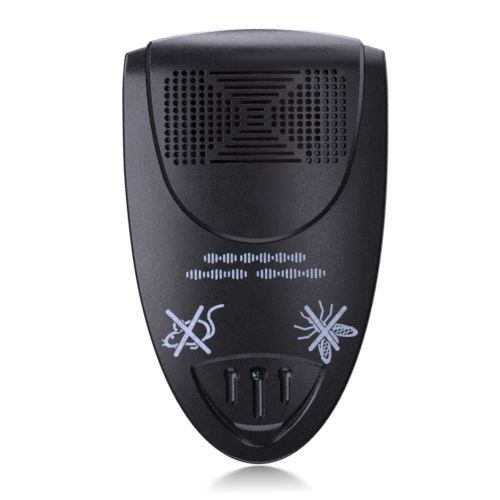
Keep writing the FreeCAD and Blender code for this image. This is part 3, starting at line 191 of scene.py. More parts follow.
def srgb(red, green, blue):
    """Linear colour from 0-255 display values."""
    def linear(value):
        value /= 255.0
        return value / 12.92 if value <= 0.04045 else ((value + 0.055) / 1.055) ** 2.4
    return (linear(red), linear(green), linear(blue), 1.0)


def mould_plastic(name, colour, light, roughness, grain_mm, grain_depth_mm):
    """Satin moulded plastic: fine spark texture, faint flow mottling, polished (smoother) edges
    whose colour is also lightened as a painted highlight.
    """
    f = Finish(name)
    mottle = f.noise(9.0, 4.0, 0.6)
    speck = f.noise(0.5, 2.0)
    edges = f.edge_mask(0.45)
    base = f.blend(f.remap(mottle, 0.35, 0.65, 0.0, 0.35), colour, light)
    # Painted highlight: every edge is lightened towards the lighter colour, standing in for light
    # caught on the edges.
    base = f.blend(f.math("MULTIPLY", edges, 0.18), base, light)
    rough = f.math("ADD", f.spread(speck, roughness - 0.05, roughness + 0.05),
                   f.spread(mottle, -0.02, 0.02))
    rough = f.math("SUBTRACT", rough, f.math("MULTIPLY", edges, 0.1))
    f.set(Base_Color=base, Roughness=rough, IOR=1.52, Specular_IOR_Level=0.5)
    swell = f.math("MULTIPLY", f.noise(grain_mm * 3, 2.0), 0.6)
    height = f.math("ADD", f.grains(grain_mm), swell)
    f.bump(height, grain_depth_mm, 1.0, f.soft_edges(0.22))
    return f.material


BRUSH_MM = 0.25


def metal(name, colour, dull, roughness, brush=(1.0, 1.0, 1.0)):
    """Plated or bare metal with drawn lines, tarnish and bright edges."""
    f = Finish(name)
    lines = f.noise(BRUSH_MM, 4.0, 0.7, f.stretched(brush))
    tarnish = f.noise(3.0, 5.0, 0.6)
    edges = f.edge_mask(0.15)
    base = f.blend(f.remap(tarnish, 0.42, 0.72, 0.0, 0.8), colour, dull)
    base = f.blend(f.math("MULTIPLY", edges, 0.5), base, colour)
    rough = f.math("ADD", f.spread(lines, roughness - 0.07, roughness + 0.09),
                   f.remap(tarnish, 0.4, 0.8, 0.0, 0.12), True)
    f.set(Base_Color=base, Metallic=1.0, Roughness=rough)
    f.bump(lines, 0.012, 0.7, f.soft_edges(0.08))
    return f.material


def plain(name, colour, shade, roughness, grain_mm=0.6, depth_mm=0.01, spread=0.5, **extra):
    """Dull or glossy non-metal with colour variation and a fine surface."""
    f = Finish(name)
    cloud = f.noise(grain_mm * 6, 4.0, 0.6)
    fine = f.noise(grain_mm, 3.0, 0.6)
    base = f.blend(f.spread(cloud, 0.0, spread), colour, shade)
    rough = f.spread(fine, max(0.02, roughness - 0.06), min(1.0, roughness + 0.08))
    f.set(Base_Color=base, Roughness=rough, **extra)
    f.bump(fine, depth_mm, 0.8, f.soft_edges(0.1))
    return f.material


# ======================================================== materials of the CAD nodes

def lamp_resin():
    """Green tinted epoxy of an unlit lamp."""
    f = Finish("lamp_resin")
    cloud = f.noise(1.6, 3.0)
    f.set(Base_Color=f.blend(f.spread(cloud, 0.0, 0.6), srgb(3, 44, 20), srgb(8, 68, 34)),
          Roughness=f.spread(f.noise(0.5), 0.06, 0.14), IOR=1.53,
          Transmission_Weight=0.35, Coat_Weight=0.6, Coat_Roughness=0.05)
    f.bump(f.noise(1.2), 0.01, 0.5)
    return f.material


WEAVE_PITCH = 0.9


def board_laminate():
    """Green solder mask over a woven glass laminate."""
    f = Finish("board_laminate")
    x, _, z = f.split()
    waves = 2 * math.pi / (WEAVE_PITCH * MM)
    weave_x = f.math("SINE", f.math("MULTIPLY", x, waves))
    weave_z = f.math("SINE", f.math("MULTIPLY", z, waves))
    weave = f.math("MULTIPLY", weave_x, weave_z)
    mottle = f.noise(4.0, 4.0)
    base = f.blend(f.spread(mottle, 0.0, 0.6), srgb(18, 74, 44), srgb(30, 96, 58))
    base = f.blend(f.remap(weave, -1.0, 1.0, 0.0, 0.22), base, srgb(58, 122, 74))
    f.set(Base_Color=base, Roughness=f.spread(f.noise(0.4), 0.28, 0.42), Coat_Weight=0.3)
    f.bump(weave, 0.008, 0.8, f.soft_edges(0.1))
    return f.material


RESISTOR_CENTRES = (-8.5, 0.0, 8.5)
FIRST_BAND = -1.65
BAND_PITCH = 1.0
BAND_HALF = 0.22
BAND_COLOURS = (srgb(120, 60, 24), srgb(20, 20, 22), srgb(206, 112, 28), srgb(190, 150, 50))


def banded_resistor():
    """Tan resistor coat with colour bands along X."""
    f = Finish("resistor_coat")
    x, _, _ = f.split()
    base = f.blend(f.spread(f.noise(1.2), 0.0, 0.6), srgb(196, 172, 128), srgb(176, 148, 104))
    for index, colour in enumerate(BAND_COLOURS):
        bands = []
        for centre in RESISTOR_CENTRES:
            band = centre + FIRST_BAND + index * BAND_PITCH
            gap = f.math("ABSOLUTE", f.math("SUBTRACT", x, band * MM))
            bands.append(f.math("LESS_THAN", gap, BAND_HALF * MM))
        mask = f.math("MAXIMUM", f.math("MAXIMUM", bands[0], bands[1]), bands[2])
        base = f.blend(mask, base, colour)
    f.set(Base_Color=base, Roughness=f.spread(f.noise(0.3), 0.3, 0.45), Coat_Weight=0.3)
    f.bump(f.noise(0.35), 0.02, 0.6)
    return f.material


CONE_CENTRE_Z = 24.3
CONE_RING_PITCH = 1.5


def paper_cone():
    """Brown pressed-paper cone with rings and fibres."""
    f = Finish("cone_paper")
    x, _, z = f.split()
    radius = f.distance(x, f.math("SUBTRACT", z, CONE_CENTRE_Z * MM))
    rings = f.math("SINE", f.math("MULTIPLY", radius, 2 * math.pi / (CONE_RING_PITCH * MM)))
    fibres = f.noise(0.35, 5.0, 0.75, f.stretched((1.0, 1.0, 3.0)))
    base = f.blend(f.spread(fibres, 0.0, 1.0), srgb(46, 32, 28), srgb(66, 46, 40))
    f.set(Base_Color=base, Roughness=0.85)
    f.bump(f.math("ADD", rings, fibres), 0.05, 0.8)
    return f.material


STRIPE_FROM_X = 11.6
CAN_TOP_FROM_Y = -4.85


def capacitor_sleeve():
    """Shrink sleeve with a pale stripe down one side and a plain metal top."""
    f = Finish("capacitor_sleeve")
    x, y, _ = f.split()
    wrap = f.spread(f.noise(2.5), 0.0, 0.5)
    base = f.blend(wrap, srgb(28, 34, 60), srgb(40, 48, 82))
    side = f.math("GREATER_THAN", f.math("ABSOLUTE", x), STRIPE_FROM_X * MM)
    base = f.blend(side, base, srgb(176, 182, 190))
    top = f.math("GREATER_THAN", y, CAN_TOP_FROM_Y * MM)
    base = f.blend(top, base, srgb(168, 170, 174))
    f.set(Base_Color=base, Metallic=top, Roughness=f.spread(f.noise(0.6), 0.25, 0.4))
    f.bump(f.noise(0.9, 4.0), 0.015, 0.7, f.soft_edges(0.15))
    return f.material


BLACK = srgb(11, 10, 14)
BLACK_LIGHT = srgb(16, 15, 20)

MATERIALS = {
    "shell_plastic": mould_plastic("shell_plastic", BLACK, BLACK_LIGHT, 0.29, 0.42, 0.007),
    "cover_plastic": mould_plastic("cover_plastic", BLACK, BLACK_LIGHT, 0.29, 0.42, 0.007),
    "label_film": plain("label_film", srgb(186, 188, 190), srgb(160, 163, 168), 0.38, 0.5, 0.006,
                        Metallic=0.35),
    "screw_steel": metal("screw_steel", srgb(196, 198, 202), srgb(120, 118, 116), 0.3,
                         (1.0, 0.2, 1.0)),
    "plug_plastic": mould_plastic("plug_plastic", srgb(27, 26, 30), srgb(44, 42, 48), 0.46,
                                  0.5, 0.02),
    "blade_brass": metal("blade_brass", srgb(212, 210, 204), srgb(176, 171, 158), 0.22,
                         (1.0, 0.06, 1.0)),
    "bracket_plastic": mould_plastic("bracket_plastic", srgb(196, 192, 180), srgb(214, 210, 200),
                                     0.5, 0.6, 0.02),
    "spring_bronze": metal("spring_bronze", srgb(208, 146, 92), srgb(132, 84, 54), 0.28,
                           (1.0, 1.0, 0.1)),
    "speaker_plastic": mould_plastic("speaker_plastic", srgb(22, 22, 24), srgb(38, 38, 42), 0.5,
                                     0.5, 0.02),
    "foam_gasket": plain("foam_gasket", srgb(34, 34, 36), srgb(54, 54, 58), 0.95, 0.35, 0.12),
    "cone_paper": paper_cone(),
    "piezo_brass": metal("piezo_brass", srgb(214, 176, 96), srgb(150, 112, 56), 0.3),
    "piezo_ceramic": plain("piezo_ceramic", srgb(206, 196, 176), srgb(182, 170, 148), 0.6,
                           0.3, 0.015),
    "tinned_tag": metal("tinned_tag", srgb(206, 206, 208), srgb(150, 148, 146), 0.3),
    "clamp_steel": metal("clamp_steel", srgb(186, 188, 192), srgb(120, 122, 128), 0.32,
                         (0.15, 1.0, 1.0)),
    "lamp_resin": lamp_resin(),
    "lamp_spacer_plastic": plain("lamp_spacer_plastic", srgb(24, 24, 26), srgb(40, 40, 44), 0.5),
    "board_laminate": board_laminate(),
    "insulation_film": plain("insulation_film", srgb(206, 168, 96), srgb(180, 138, 70), 0.3, 1.5,
                             0.01, Coat_Weight=0.4),
    "capacitor_sleeve": capacitor_sleeve(),
    "film_case": plain("film_case", srgb(176, 60, 34), srgb(146, 44, 26), 0.32, 0.7, 0.015),
    "fuse_case": plain("fuse_case", srgb(44, 42, 44), srgb(62, 60, 62), 0.4),
    "varistor_coat": plain("varistor_coat", srgb(34, 70, 140), srgb(26, 52, 112), 0.34, 0.8, 0.05,
                           Coat_Weight=0.3),
    "component_black": plain("component_black", srgb(26, 26, 28), srgb(40, 40, 43), 0.45, 0.4,
                             0.012),
    "zener_glass": plain("zener_glass", srgb(190, 96, 52), srgb(150, 66, 34), 0.1, 1.0, 0.004,
                         Transmission_Weight=0.4),
    "resistor_coat": banded_resistor(),
    "connector_nylon": plain("connector_nylon", srgb(222, 216, 200), srgb(204, 196, 176), 0.42,
                             0.8, 0.01, Subsurface_Weight=0.05),
    "bobbin_nylon": plain("bobbin_nylon", srgb(206, 200, 184), srgb(184, 176, 156), 0.45),
    "enamel_copper": metal("enamel_copper", srgb(198, 104, 56), srgb(136, 62, 32), 0.26),
    "ferrite": plain("ferrite", srgb(48, 48, 52), srgb(70, 70, 76), 0.55, 0.25, 0.02),
    "winding_tape": plain("winding_tape", srgb(216, 190, 70), srgb(190, 160, 48), 0.35, 1.2, 0.012,
                          Coat_Weight=0.3),
    "wire_brown": plain("wire_brown", srgb(96, 52, 30), srgb(78, 40, 24), 0.4),
    "wire_blue": plain("wire_blue", srgb(40, 84, 160), srgb(30, 66, 134), 0.4),
    "wire_red": plain("wire_red", srgb(176, 36, 32), srgb(146, 28, 26), 0.4),
}

slots = {entry["node"]: entry["material_slot"] for entry in frame["record"]["subparts"]}
for name, node in nodes.items():
    node.data.materials.clear()
    node.data.materials.append(MATERIALS[slots[name]])


# ======================================================== new pieces

def new_object(name, mesh, material):
    """Object made from a bmesh, which is freed."""
    data = bpy.data.meshes.new(name)
    mesh.to_mesh(data)
    mesh.free()
    data.materials.append(material)
    made = bpy.data.objects.new(name, data)
    bpy.context.scene.collection.objects.link(made)
    return made


def add_piece(name, mesh, material):
    """New piece that rides on the housing. Every new piece does."""
    bmesh.ops.recalc_face_normals(mesh, faces=mesh.faces)
    piece = new_object(name, mesh, material)
    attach(piece, "housing")
    return piece


# ======================================================== printed marks
# A mark is a signed distance field over (x, z) in millimetres from the mark's centre. It is
# negative inside the ink.

CROSS_WIDTH = 1.15
CROSS_GAP = 0.3
INK_LINE = 0.62
CURVE_STEPS = 10

BAR_WIDTH = 0.5
BAR_HEIGHT = 2.7
BAR_PITCH = 1.06
BAR_SHORTEST = 0.34

INK_CELL = 0.13
INK_PROUD = 0.035
INK_SUNK = 0.03
FRONT = -1
BACK = 1


def stroke(points, width):
    """Line through the given points, with round ends."""
    def field(x, z):
        gaps = []
        for (x0, z0), (x1, z1) in zip(points, points[1:]):
            dx = x1 - x0
            dz = z1 - z0
            along = numpy.clip(((x - x0) * dx + (z - z0) * dz) / (dx * dx + dz * dz), 0.0, 1.0)
            gaps.append(numpy.hypot(x - x0 - along * dx, z - z0 - along * dz))
        return numpy.minimum.reduce(gaps) - width / 2
    return field


def bow(start, through, end, width):
    """Curved line from start to end that bends towards a third point."""
    points = []
    for i in range(CURVE_STEPS + 1):
        t = i / CURVE_STEPS
        points.append(tuple((1 - t)**2 * a + 2 * t * (1 - t) * b + t * t * c
                            for a, b, c in zip(start, through, end)))
    return stroke(points, width)


def oval(centre, radii, turn=0.0):
    """Filled ellipse, turned in degrees."""
    c = math.cos(math.radians(turn))
    s = math.sin(math.radians(turn))

    def field(x, z):
        u = (x - centre[0]) * c + (z - centre[1]) * s
        v = (z - centre[1]) * c - (x - centre[0]) * s
        return (numpy.hypot(u / radii[0], v / radii[1]) - 1) * min(radii)
    return field


def panel(x0, z0, half_x, half_z):
    """Filled rectangle about a centre."""
    return lambda x, z: numpy.maximum(numpy.abs(x - x0) - half_x, numpy.abs(z - z0) - half_z)


def joined(*fields):
    return lambda x, z: numpy.minimum.reduce([field(x, z) for field in fields])


def outline(field, width):
    return lambda x, z: numpy.abs(field(x, z) + width / 2) - width / 2


def without(field, tool, gap=0.0):
    return lambda x, z: numpy.maximum(field(x, z), gap - tool(x, z))


def within(field, bounds):
    return lambda x, z: numpy.maximum(field(x, z), bounds(x, z))


def spun(field, degrees):
    c = math.cos(math.radians(degrees))
    s = math.sin(math.radians(degrees))
    return lambda x, z: field(x * c + z * s, z * c - x * s)


def crossed_out(animal, first, second):
    """Mark with a cross over it and a thin gap round the cross."""
    cross = joined(stroke(first, CROSS_WIDTH), stroke(second, CROSS_WIDTH))
    return joined(cross, without(animal, cross, CROSS_GAP))


def mouse_mark():
    """Mouse in outline, seen from its side, with round ears and a long tail."""
    body = joined(oval((0.2, -0.9), (4.5, 3.3), 16), oval((-4.6, -2.6), (3.1, 1.9), 28))
    ear = oval((-3.5, 0.9), (1.6, 1.75))
    lines = joined(outline(body, INK_LINE),
                   outline(ear, INK_LINE),
                   bow((3.6, -2.4), (7.0, -1.2), (4.4, 2.6), 0.7),
                   bow((4.4, 2.6), (3.6, 5.4), (8.0, 6.1), 0.7),
                   stroke([(-2.2, -4.1), (-3.4, -5.0), (-4.4, -5.0)], 0.6),
                   stroke([(1.8, -4.0), (0.8, -5.0), (-0.4, -5.0)], 0.6),
                   stroke([(-6.6, -3.4), (-8.0, -2.9)], 0.32),
                   stroke([(-6.6, -3.9), (-8.0, -4.2)], 0.32),
                   oval((-5.3, -2.1), (0.45, 0.45)))
    inner = without(lines, within(outline(body, INK_LINE), ear))
    return crossed_out(inner, [(-6.4, 4.6), (4.2, -6.0)], [(2.4, 5.6), (-4.4, -6.7)])


def wing(side):
    """Long wing in outline, filled with a lattice of veins."""
    blade = oval((-3.4, side * 3.1), (4.4, 1.55), side * -34)
    veins = [stroke([(-9.0 + k, -8.0), (-1.0 + k, 8.0)], 0.22) for k in range(-2, 9)]
    veins += [stroke([(-9.0 + k, 8.0), (-1.0 + k, -8.0)], 0.22) for k in range(-2, 9)]
    return joined(outline(blade, 0.4), within(joined(*veins), blade))


def fly_mark():
    """Fly seen from above, its head to the right before it is turned."""
    torso = joined(oval((1.2, 0), (2.2, 1.5)), oval((-2.4, 0), (2.9, 1.25)),
                   oval((3.9, 0), (1.05, 1.3)))
    parts = [torso]
    for side in (-1, 1):
        parts.append(without(wing(side), torso, 0.25))
        parts.append(stroke([(4.5, side * 0.6), (6.2, side * 1.2), (7.4, side * 0.9)], 0.38))
        parts.append(stroke([(2.2, side * 1.0), (3.6, side * 3.4), (6.0, side * 4.6)], 0.48))
        parts.append(stroke([(1.2, side * 1.2), (1.5, side * 4.2), (3.0, side * 6.2)], 0.48))
        parts.append(stroke([(-0.4, side * 1.0), (-5.0, side * 5.6), (-7.8, side * 5.9)], 0.48))
    animal = spun(joined(*parts), 135)
    return crossed_out(animal, [(-4.4, 5.8), (3.6, -5.0)], [(5.6, 5.6), (-3.4, -5.0)])


def level_bars(groups, height):
    """Upright rounded bars whose lengths rise and fall like a sound-level trace."""
    bars = []
    for start, end, swings in groups:
        count = int(round((end - start) / BAR_PITCH))
        for i in range(count + 1):
            x = start + (end - start) * i / count
            swing = abs(math.sin(math.pi * swings * (i + 0.5) / (count + 1)))
            level = BAR_SHORTEST + (1 - BAR_SHORTEST) * swing
            half = (height * level - BAR_WIDTH) / 2
            bars.append(stroke([(x, -half), (x, half)], BAR_WIDTH))
    return joined(*bars)


# Rays start this far from the wall plane, in metres, which is clear of the case.
RAY_START = 0.2
# An edge of ink stays this share of a cell away from the cell's corners.
SHARE_MARGIN = 0.02


def skin_finder(node, side=FRONT):
    """Function from (x, z) in millimetres to the y, in metres, of a node's skin on a side."""
    mesh = bmesh.new()
    mesh.from_mesh(nodes[node].data)
    tree = BVHTree.FromBMesh(mesh)
    mesh.free()

    def skin(x, z):
        hit = tree.ray_cast(Vector((x * MM, RAY_START * side, z * MM)), Vector((0, -side, 0)))[0]
        return hit.y if hit else None
    return skin


def print_mark(name, field, centre, half_x, half_z, skin, material, side=FRONT):
    """Thin closed layer of ink that follows the skin wherever the field is negative."""
    columns = int(2 * half_x / INK_CELL)
    rows = int(2 * half_z / INK_CELL)
    xs = numpy.linspace(-half_x, half_x, columns + 1)
    zs = numpy.linspace(-half_z, half_z, rows + 1)
    values = field(*numpy.meshgrid(xs, zs, indexing="ij"))
    mesh = bmesh.new()
    made = {}

    def pair(key, x, z):
        """Outer and inner vertex at a place."""
        if key not in made:
            y = skin(centre[0] + x, centre[1] + z)
            spot = ((centre[0] + x) * MM, (centre[1] + z) * MM)
            made[key] = (mesh.verts.new((spot[0], y + side * INK_PROUD * MM, spot[1])),
                         mesh.verts.new((spot[0], y - side * INK_SUNK * MM, spot[1])))
        return made[key]

    for i in range(columns):
        for j in range(rows):
            corners = [(i, j), (i + 1, j), (i + 1, j + 1), (i, j + 1)]
            if not any(values[corner] < 0 for corner in corners):
                continue
            loop = []
            for here, after in zip(corners, corners[1:] + corners[:1]):
                if values[here] < 0:
                    loop.append(pair(here, xs[here[0]], zs[here[1]]))
                if (values[here] < 0) != (values[after] < 0):
                    low, high = sorted((here, after))
                    share = values[low] / (values[low] - values[high])
                    share = min(max(share, SHARE_MARGIN), 1 - SHARE_MARGIN)
                    loop.append(pair((low, high),
                                     xs[low[0]] + share * (xs[high[0]] - xs[low[0]]),
                                     zs[low[1]] + share * (zs[high[1]] - zs[low[1]])))
            mesh.faces.new([outer for outer, inner in loop])
            mesh.faces.new([inner for outer, inner in reversed(loop)])
    inner_of = dict(made.values())
    rim = [edge for edge in mesh.edges if edge.is_boundary and edge.verts[0] in inner_of]
    for edge in rim:
        a, b = edge.verts
        mesh.faces.new((a, b, inner_of[b], inner_of[a]))
    return add_piece(name, mesh, material)


def label_marks():
    """Ruled frame with empty fields and rows of dashes, and two nested squares."""
    marks = [outline(panel(0, 0, 10.0, 7.2), 0.25),
             stroke([(-9.6, 3.4), (9.6, 3.4)], 0.2),
             stroke([(2.6, 3.4), (2.6, -6.8)], 0.2),
             outline(panel(6.3, -1.4, 2.6, 2.6), 0.3),
             outline(panel(6.3, -1.4, 1.5, 1.5), 0.3),
             panel(-4.9, 5.2, 3.6, 0.6)]
    for row, length in enumerate((10.2, 8.4, 9.6, 6.2, 9.0)):
        z = 2.2 - 1.9 * row
        marks.append(stroke([(-8.6, z), (-8.6 + 0.3 * length, z)], 0.42))
        marks.append(stroke([(-8.6 + 0.4 * length, z), (-8.6 + length, z)], 0.42))
    return joined(*marks)


def ink(name, thin, full):
    """Pad-printing ink with slight pinholes."""
    f = Finish(name)
    patch = f.remap(f.noise(0.8, 4.0, 0.7), 0.35, 0.6, 0.0, 1.0)
    base = f.blend(patch, thin, full)
    f.set(Base_Color=base, Roughness=f.spread(f.noise(0.3), 0.42, 0.6))
    f.bump(f.noise(0.35, 3.0), 0.006, 0.8)
    return f.material


front_skin = skin_finder("front_shell")
INK = ink("print_ink", srgb(150, 162, 182), srgb(186, 198, 216))
print_mark("print_levels_upper", level_bars([(-13.6, -5.6, 2), (-4.1, 12.4, 4)], BAR_HEIGHT),
           (0.0, -12.6), 14.6, 1.8, front_skin, INK)
print_mark("print_levels_lower", level_bars([(-18.3, -3.0, 3), (0.2, 17.6, 3)], BAR_HEIGHT),
           (0.0, -16.8), 19.2, 1.8, front_skin, INK)
print_mark("print_mouse", mouse_mark(), (-17.1, -31.1), 9.0, 8.0, front_skin, INK)
print_mark("print_fly", fly_mark(), (17.3, -31.6), 9.0, 9.0, front_skin, INK)
label_low, label_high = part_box("rating_label")
label_middle = (label_low + label_high) / 2 / MM
LABEL_INK = ink("label_ink", srgb(52, 54, 60), srgb(30, 31, 36))
print_mark("label_marks", label_marks(), (label_middle.x, label_middle.z), 10.6, 7.8,
           skin_finder("rating_label", BACK), LABEL_INK, BACK)


# ======================================================== wire turns and solder

def loft(mesh, rings):
    """Closed skin through rings that have the same number of vertices."""
    sides = len(rings[0])
    for ring, following in zip(rings, rings[1:]):
        for k in range(sides):
            after = (k + 1) % sides
            mesh.faces.new((ring[k], ring[after], following[after], following[k]))
    mesh.faces.new(rings[0])
    mesh.faces.new(reversed(rings[-1]))


def tube(mesh, points, radius, sides):
    """Closed round tube along a list of points."""
    rings = []
    for i, point in enumerate(points):
        ahead = (points[min(i + 1, len(points) - 1)] - points[max(i - 1, 0)]).normalized()
        out = ahead.orthogonal() if i == 0 else (out - ahead * out.dot(ahead))
        out.normalize()
        up = ahead.cross(out)
        rings.append([mesh.verts.new(point + radius * (out * math.cos(a) + up * math.sin(a)))
                      for a in (2 * math.pi * k / sides for k in range(sides))])
    loft(mesh, rings)


WIRE_RADIUS = 0.17
TURN_STEPS = 28
WIRE_SIDES = 6


def coil_turns():
    """Outermost layer of enamelled wire, wound over the coil's copper body."""
    low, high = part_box("coil_winding")
    centre = (low + high) / 2
    wire = WIRE_RADIUS * MM
    ring = (high.x - low.x) / 2 + 0.6 * wire
    length = high.y - low.y - 2.4 * wire
    turns = int(length / (2.08 * wire))
    points = []
    for i in range(turns * TURN_STEPS + 1):
        angle = 2 * math.pi * i / TURN_STEPS
        points.append(Vector((centre.x + ring * math.cos(angle),
                              low.y + 1.2 * wire + length * i / (turns * TURN_STEPS),
                              centre.z + ring * math.sin(angle))))
    mesh = bmesh.new()
    tube(mesh, points, wire, WIRE_SIDES)
    piece = add_piece("coil_turns", mesh, MATERIALS["enamel_copper"])
    for face in piece.data.polygons:
        face.use_smooth = True


SOLDERED = ["electrolytic_capacitors", "film_capacitor", "fuse", "varistor", "rectifier_diodes",
            "zener_diode", "resistors", "drive_transistors", "transformer_bobbin"]
FACE_TOLERANCE = 0.02
LEG_SPREAD = 0.95
SOLDER_PROFILE = ((0.82, -0.05), (0.82, 0.0), (0.62, 0.10), (0.46, 0.26), (0.34, 0.46))
SOLDER_SIDES = 14


def leg_places(face_y):
    """Middle of each component leg where it crosses a face of the board."""
    places = []
    for name in SOLDERED:
        spots = [v.co for v in nodes[name].data.vertices
                 if abs(v.co.y - face_y) < FACE_TOLERANCE * MM]
        while spots:
            first = spots[0]
            near = [s for s in spots
                    if math.hypot(s.x - first.x, s.z - first.z) < LEG_SPREAD * MM]
            spots = [s for s in spots if s not in near]
            places.append(Vector((sum(s.x for s in near) / len(near), face_y,
                                  sum(s.z for s in near) / len(near))))
    return places


def solder_joints():
    """Fillet of solder round each component leg where it meets the board."""
    low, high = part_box("main_board")
    mesh = bmesh.new()
    for face_y, out in ((low.y, -1), (high.y, 1)):
        for place in leg_places(face_y):
            rings = []
            for radius, height in SOLDER_PROFILE:
                rings.append([mesh.verts.new(place + Vector((radius * math.cos(a), out * height,
                                                             radius * math.sin(a))) * MM)
                              for a in (2 * math.pi * k / SOLDER_SIDES
                                        for k in range(SOLDER_SIDES))])
            loft(mesh, rings)
    piece = add_piece("solder_joints", mesh, MATERIALS["tinned_tag"])
    for face in piece.data.polygons:
        face.use_smooth = len(face.vertices) == 4


coil_turns()
solder_joints()


# ======================================================== floor, lights and camera

# Lengths from here on are in metres.
FLOOR_HALF = 8.0
FLOOR_GAP = 0.0002
FLOOR_GLOW = 1.06
SHADOW_GLOW = 0.5
CONTACT_REACH = 0.03
REFLECTION_REACH = 0.35
# The reflection shows between these two alignments of the view with the front direction.
FACING_NONE = 0.8
FACING_FULL = 0.97


def floor_finish():
    """White glow with a soft contact shadow and, seen from in front, a reflection that fades
    away from the tip."""
    f = Finish("floor")
    x, y, _ = f.split()
    near = f.remap(f.distance(x, y), 0.0, REFLECTION_REACH, 1.0, 0.0)
    fresnel = f.node("ShaderNodeFresnel")
    fresnel.inputs["IOR"].default_value = 1.5
    gloss = f.node("ShaderNodeBsdfGlossy")
    f.feed(gloss.inputs["Roughness"], f.spread(f.noise(30.0), 0.05, 0.07))
    aside = f.node("ShaderNodeSeparateXYZ")
    f.link(f.node("ShaderNodeNewGeometry").outputs["Incoming"], aside.inputs[0])
    towards_front = f.math("MULTIPLY", aside.outputs["Y"], -1.0)
    facing = f.remap(towards_front, FACING_NONE, FACING_FULL, 0.0, 1.0)
    contact = f.node("ShaderNodeAmbientOcclusion", samples=12)
    contact.inputs["Distance"].default_value = CONTACT_REACH
    glow = f.node("ShaderNodeEmission")
    f.feed(glow.inputs["Strength"],
           f.remap(contact.outputs["AO"], 0.0, 1.0, SHADOW_GLOW, FLOOR_GLOW))
    seen = f.node("ShaderNodeMixShader")
    mirror = f.math("MULTIPLY", f.math("MULTIPLY", fresnel.outputs[0], near), facing)
    f.link(mirror, seen.inputs[0])
    f.link(glow.outputs[0], seen.inputs[1])
    f.link(gloss.outputs[0], seen.inputs[2])
    f.link(seen.outputs[0], f.tree.nodes["Material Output"].inputs["Surface"])
    return f.material


def stage_floor():
    """Pale seamless floor just under the tip. Only the camera sees it: the light that it
    would throw up comes from the soft box named bounce."""
    mesh = bmesh.new()
    mesh.faces.new([mesh.verts.new((x * FLOOR_HALF, y * FLOOR_HALF, 0))
                    for x, y in ((-1, -1), (1, -1), (1, 1), (-1, 1))])
    floor = new_object("floor", mesh, floor_finish())
    floor.location.z = cad_low.z - FLOOR_GAP
    floor.visible_glossy = False
    floor.visible_diffuse = False
    floor.visible_shadow = False


LIGHT_TINT = (0.86, 0.84, 1.0)
LIGHT_TARGET = Vector((0.0, -0.02, -0.01))

# Name, azimuth to the right of the camera's side and elevation in degrees, distance from the
# object, width and height in metres, power in watts.
SOFT_BOXES = [
    ("key_left", -46, -6, 1.2, 0.95, 0.85, 15),
    ("fill_right", 16, -4, 1.3, 0.24, 0.8, 2.4),
    ("top", 95, 78, 1.0, 0.8, 0.8, 14),
    ("top_right", 55, 50, 1.1, 0.4, 0.4, 2.5),
    ("top_left", -90, 70, 1.0, 0.4, 0.6, 3.5),
    ("upper", 22, 41, 1.2, 1.0, 0.35, 1.2),
    ("bounce", 0, -84, 0.8, 0.7, 0.3, 2.2),
    ("left_rim", -80, 27, 1.2, 0.45, 0.7, 9),
    ("back", 170, 35, 1.3, 1.2, 0.8, 12),
    ("back_right", 110, 15, 1.3, 0.5, 1.0, 5),
    ("back_sheen", 138, -6, 1.3, 0.9, 0.7, 6),
]


def soft_box(name, azimuth_deg, elevation_deg, distance, width, height, power):
    """Area light aimed at the object, and not seen by the camera."""
    azimuth = math.radians(azimuth_deg)
    elevation = math.radians(elevation_deg)
    away = Vector((math.sin(azimuth) * math.cos(elevation),
                   -math.cos(azimuth) * math.cos(elevation), math.sin(elevation)))
    light = bpy.data.lights.new(name, "AREA")
    light.shape = "RECTANGLE"
    light.size = width
    light.size_y = height
    light.energy = power
    light.color = LIGHT_TINT
    lamp = bpy.data.objects.new(name, light)
    lamp.location = LIGHT_TARGET + away * distance
    lamp.rotation_euler = away.to_track_quat("Z", "Y").to_euler()
    lamp.visible_camera = False
    bpy.context.scene.collection.objects.link(lamp)


WORLD_SEEN = 1.05
WORLD_AROUND = 0.1
WORLD_BEHIND = 1.32
# The backdrop's light comes in between these two alignments with straight behind.
BEHIND_NONE = 0.8
BEHIND_FULL = 0.95


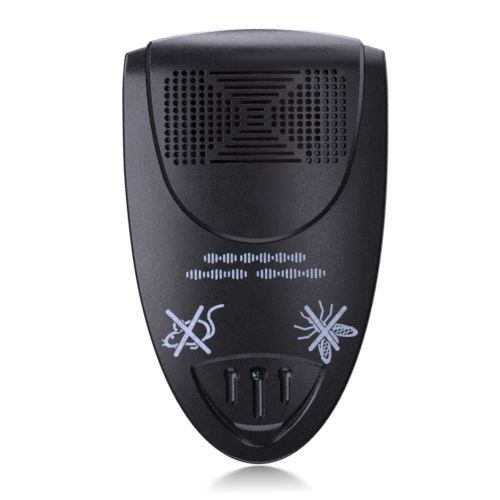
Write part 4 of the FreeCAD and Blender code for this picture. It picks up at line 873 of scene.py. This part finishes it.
def world_light():
    """Background: white to the camera, dim to everything else except straight behind
    the object, where a white backdrop would stand."""
    world = bpy.data.worlds.new("studio")
    bpy.context.scene.world = world
    world.use_nodes = True
    tree = world.node_tree
    background = tree.nodes["Background"]
    coords = tree.nodes.new("ShaderNodeTexCoord")
    split = tree.nodes.new("ShaderNodeSeparateXYZ")
    tree.links.new(coords.outputs["Generated"], split.inputs[0])
    backdrop = tree.nodes.new("ShaderNodeMapRange")
    for key, number in (("From Min", BEHIND_NONE), ("From Max", BEHIND_FULL),
                        ("To Min", WORLD_AROUND), ("To Max", WORLD_BEHIND)):
        backdrop.inputs[key].default_value = number
    tree.links.new(split.outputs["Y"], backdrop.inputs["Value"])
    path = tree.nodes.new("ShaderNodeLightPath")
    mix = tree.nodes.new("ShaderNodeMix")
    tree.links.new(path.outputs["Is Camera Ray"], mix.inputs["Factor"])
    tree.links.new(backdrop.outputs["Result"], mix.inputs[2])
    mix.inputs[3].default_value = WORLD_SEEN
    tree.links.new(mix.outputs[0], background.inputs["Strength"])
    background.inputs["Color"].default_value = (1.0, 1.0, 1.0, 1.0)


CAMERA_DISTANCE = 2.6
FRAME_WIDTH = 0.1316
AIM = Vector((-0.0018, -0.022, -0.0105))
ROLL_DEG = 0.57
SENSOR_WIDTH = 36.0    # millimetres
CLIP_NEAR = 0.01
CLIP_FAR = 20.0


def photo_camera():
    """Level camera straight in front, with a slight roll."""
    data = bpy.data.cameras.new("camera")
    data.sensor_width = SENSOR_WIDTH
    data.lens = SENSOR_WIDTH * CAMERA_DISTANCE / FRAME_WIDTH
    data.clip_start = CLIP_NEAR
    data.clip_end = CLIP_FAR
    camera = bpy.data.objects.new("camera", data)
    bpy.context.scene.collection.objects.link(camera)
    camera.location = AIM + Vector((0, -CAMERA_DISTANCE, 0))
    level = Matrix.Rotation(math.radians(90), 4, "X")
    roll = Matrix.Rotation(math.radians(-ROLL_DEG), 4, "Z")
    camera.rotation_euler = (level @ roll).to_euler()
    bpy.context.scene.camera = camera


stage_floor()
world_light()
for box in SOFT_BOXES:
    soft_box(*box)
photo_camera()
bpy.context.scene.view_settings.view_transform = "Standard"
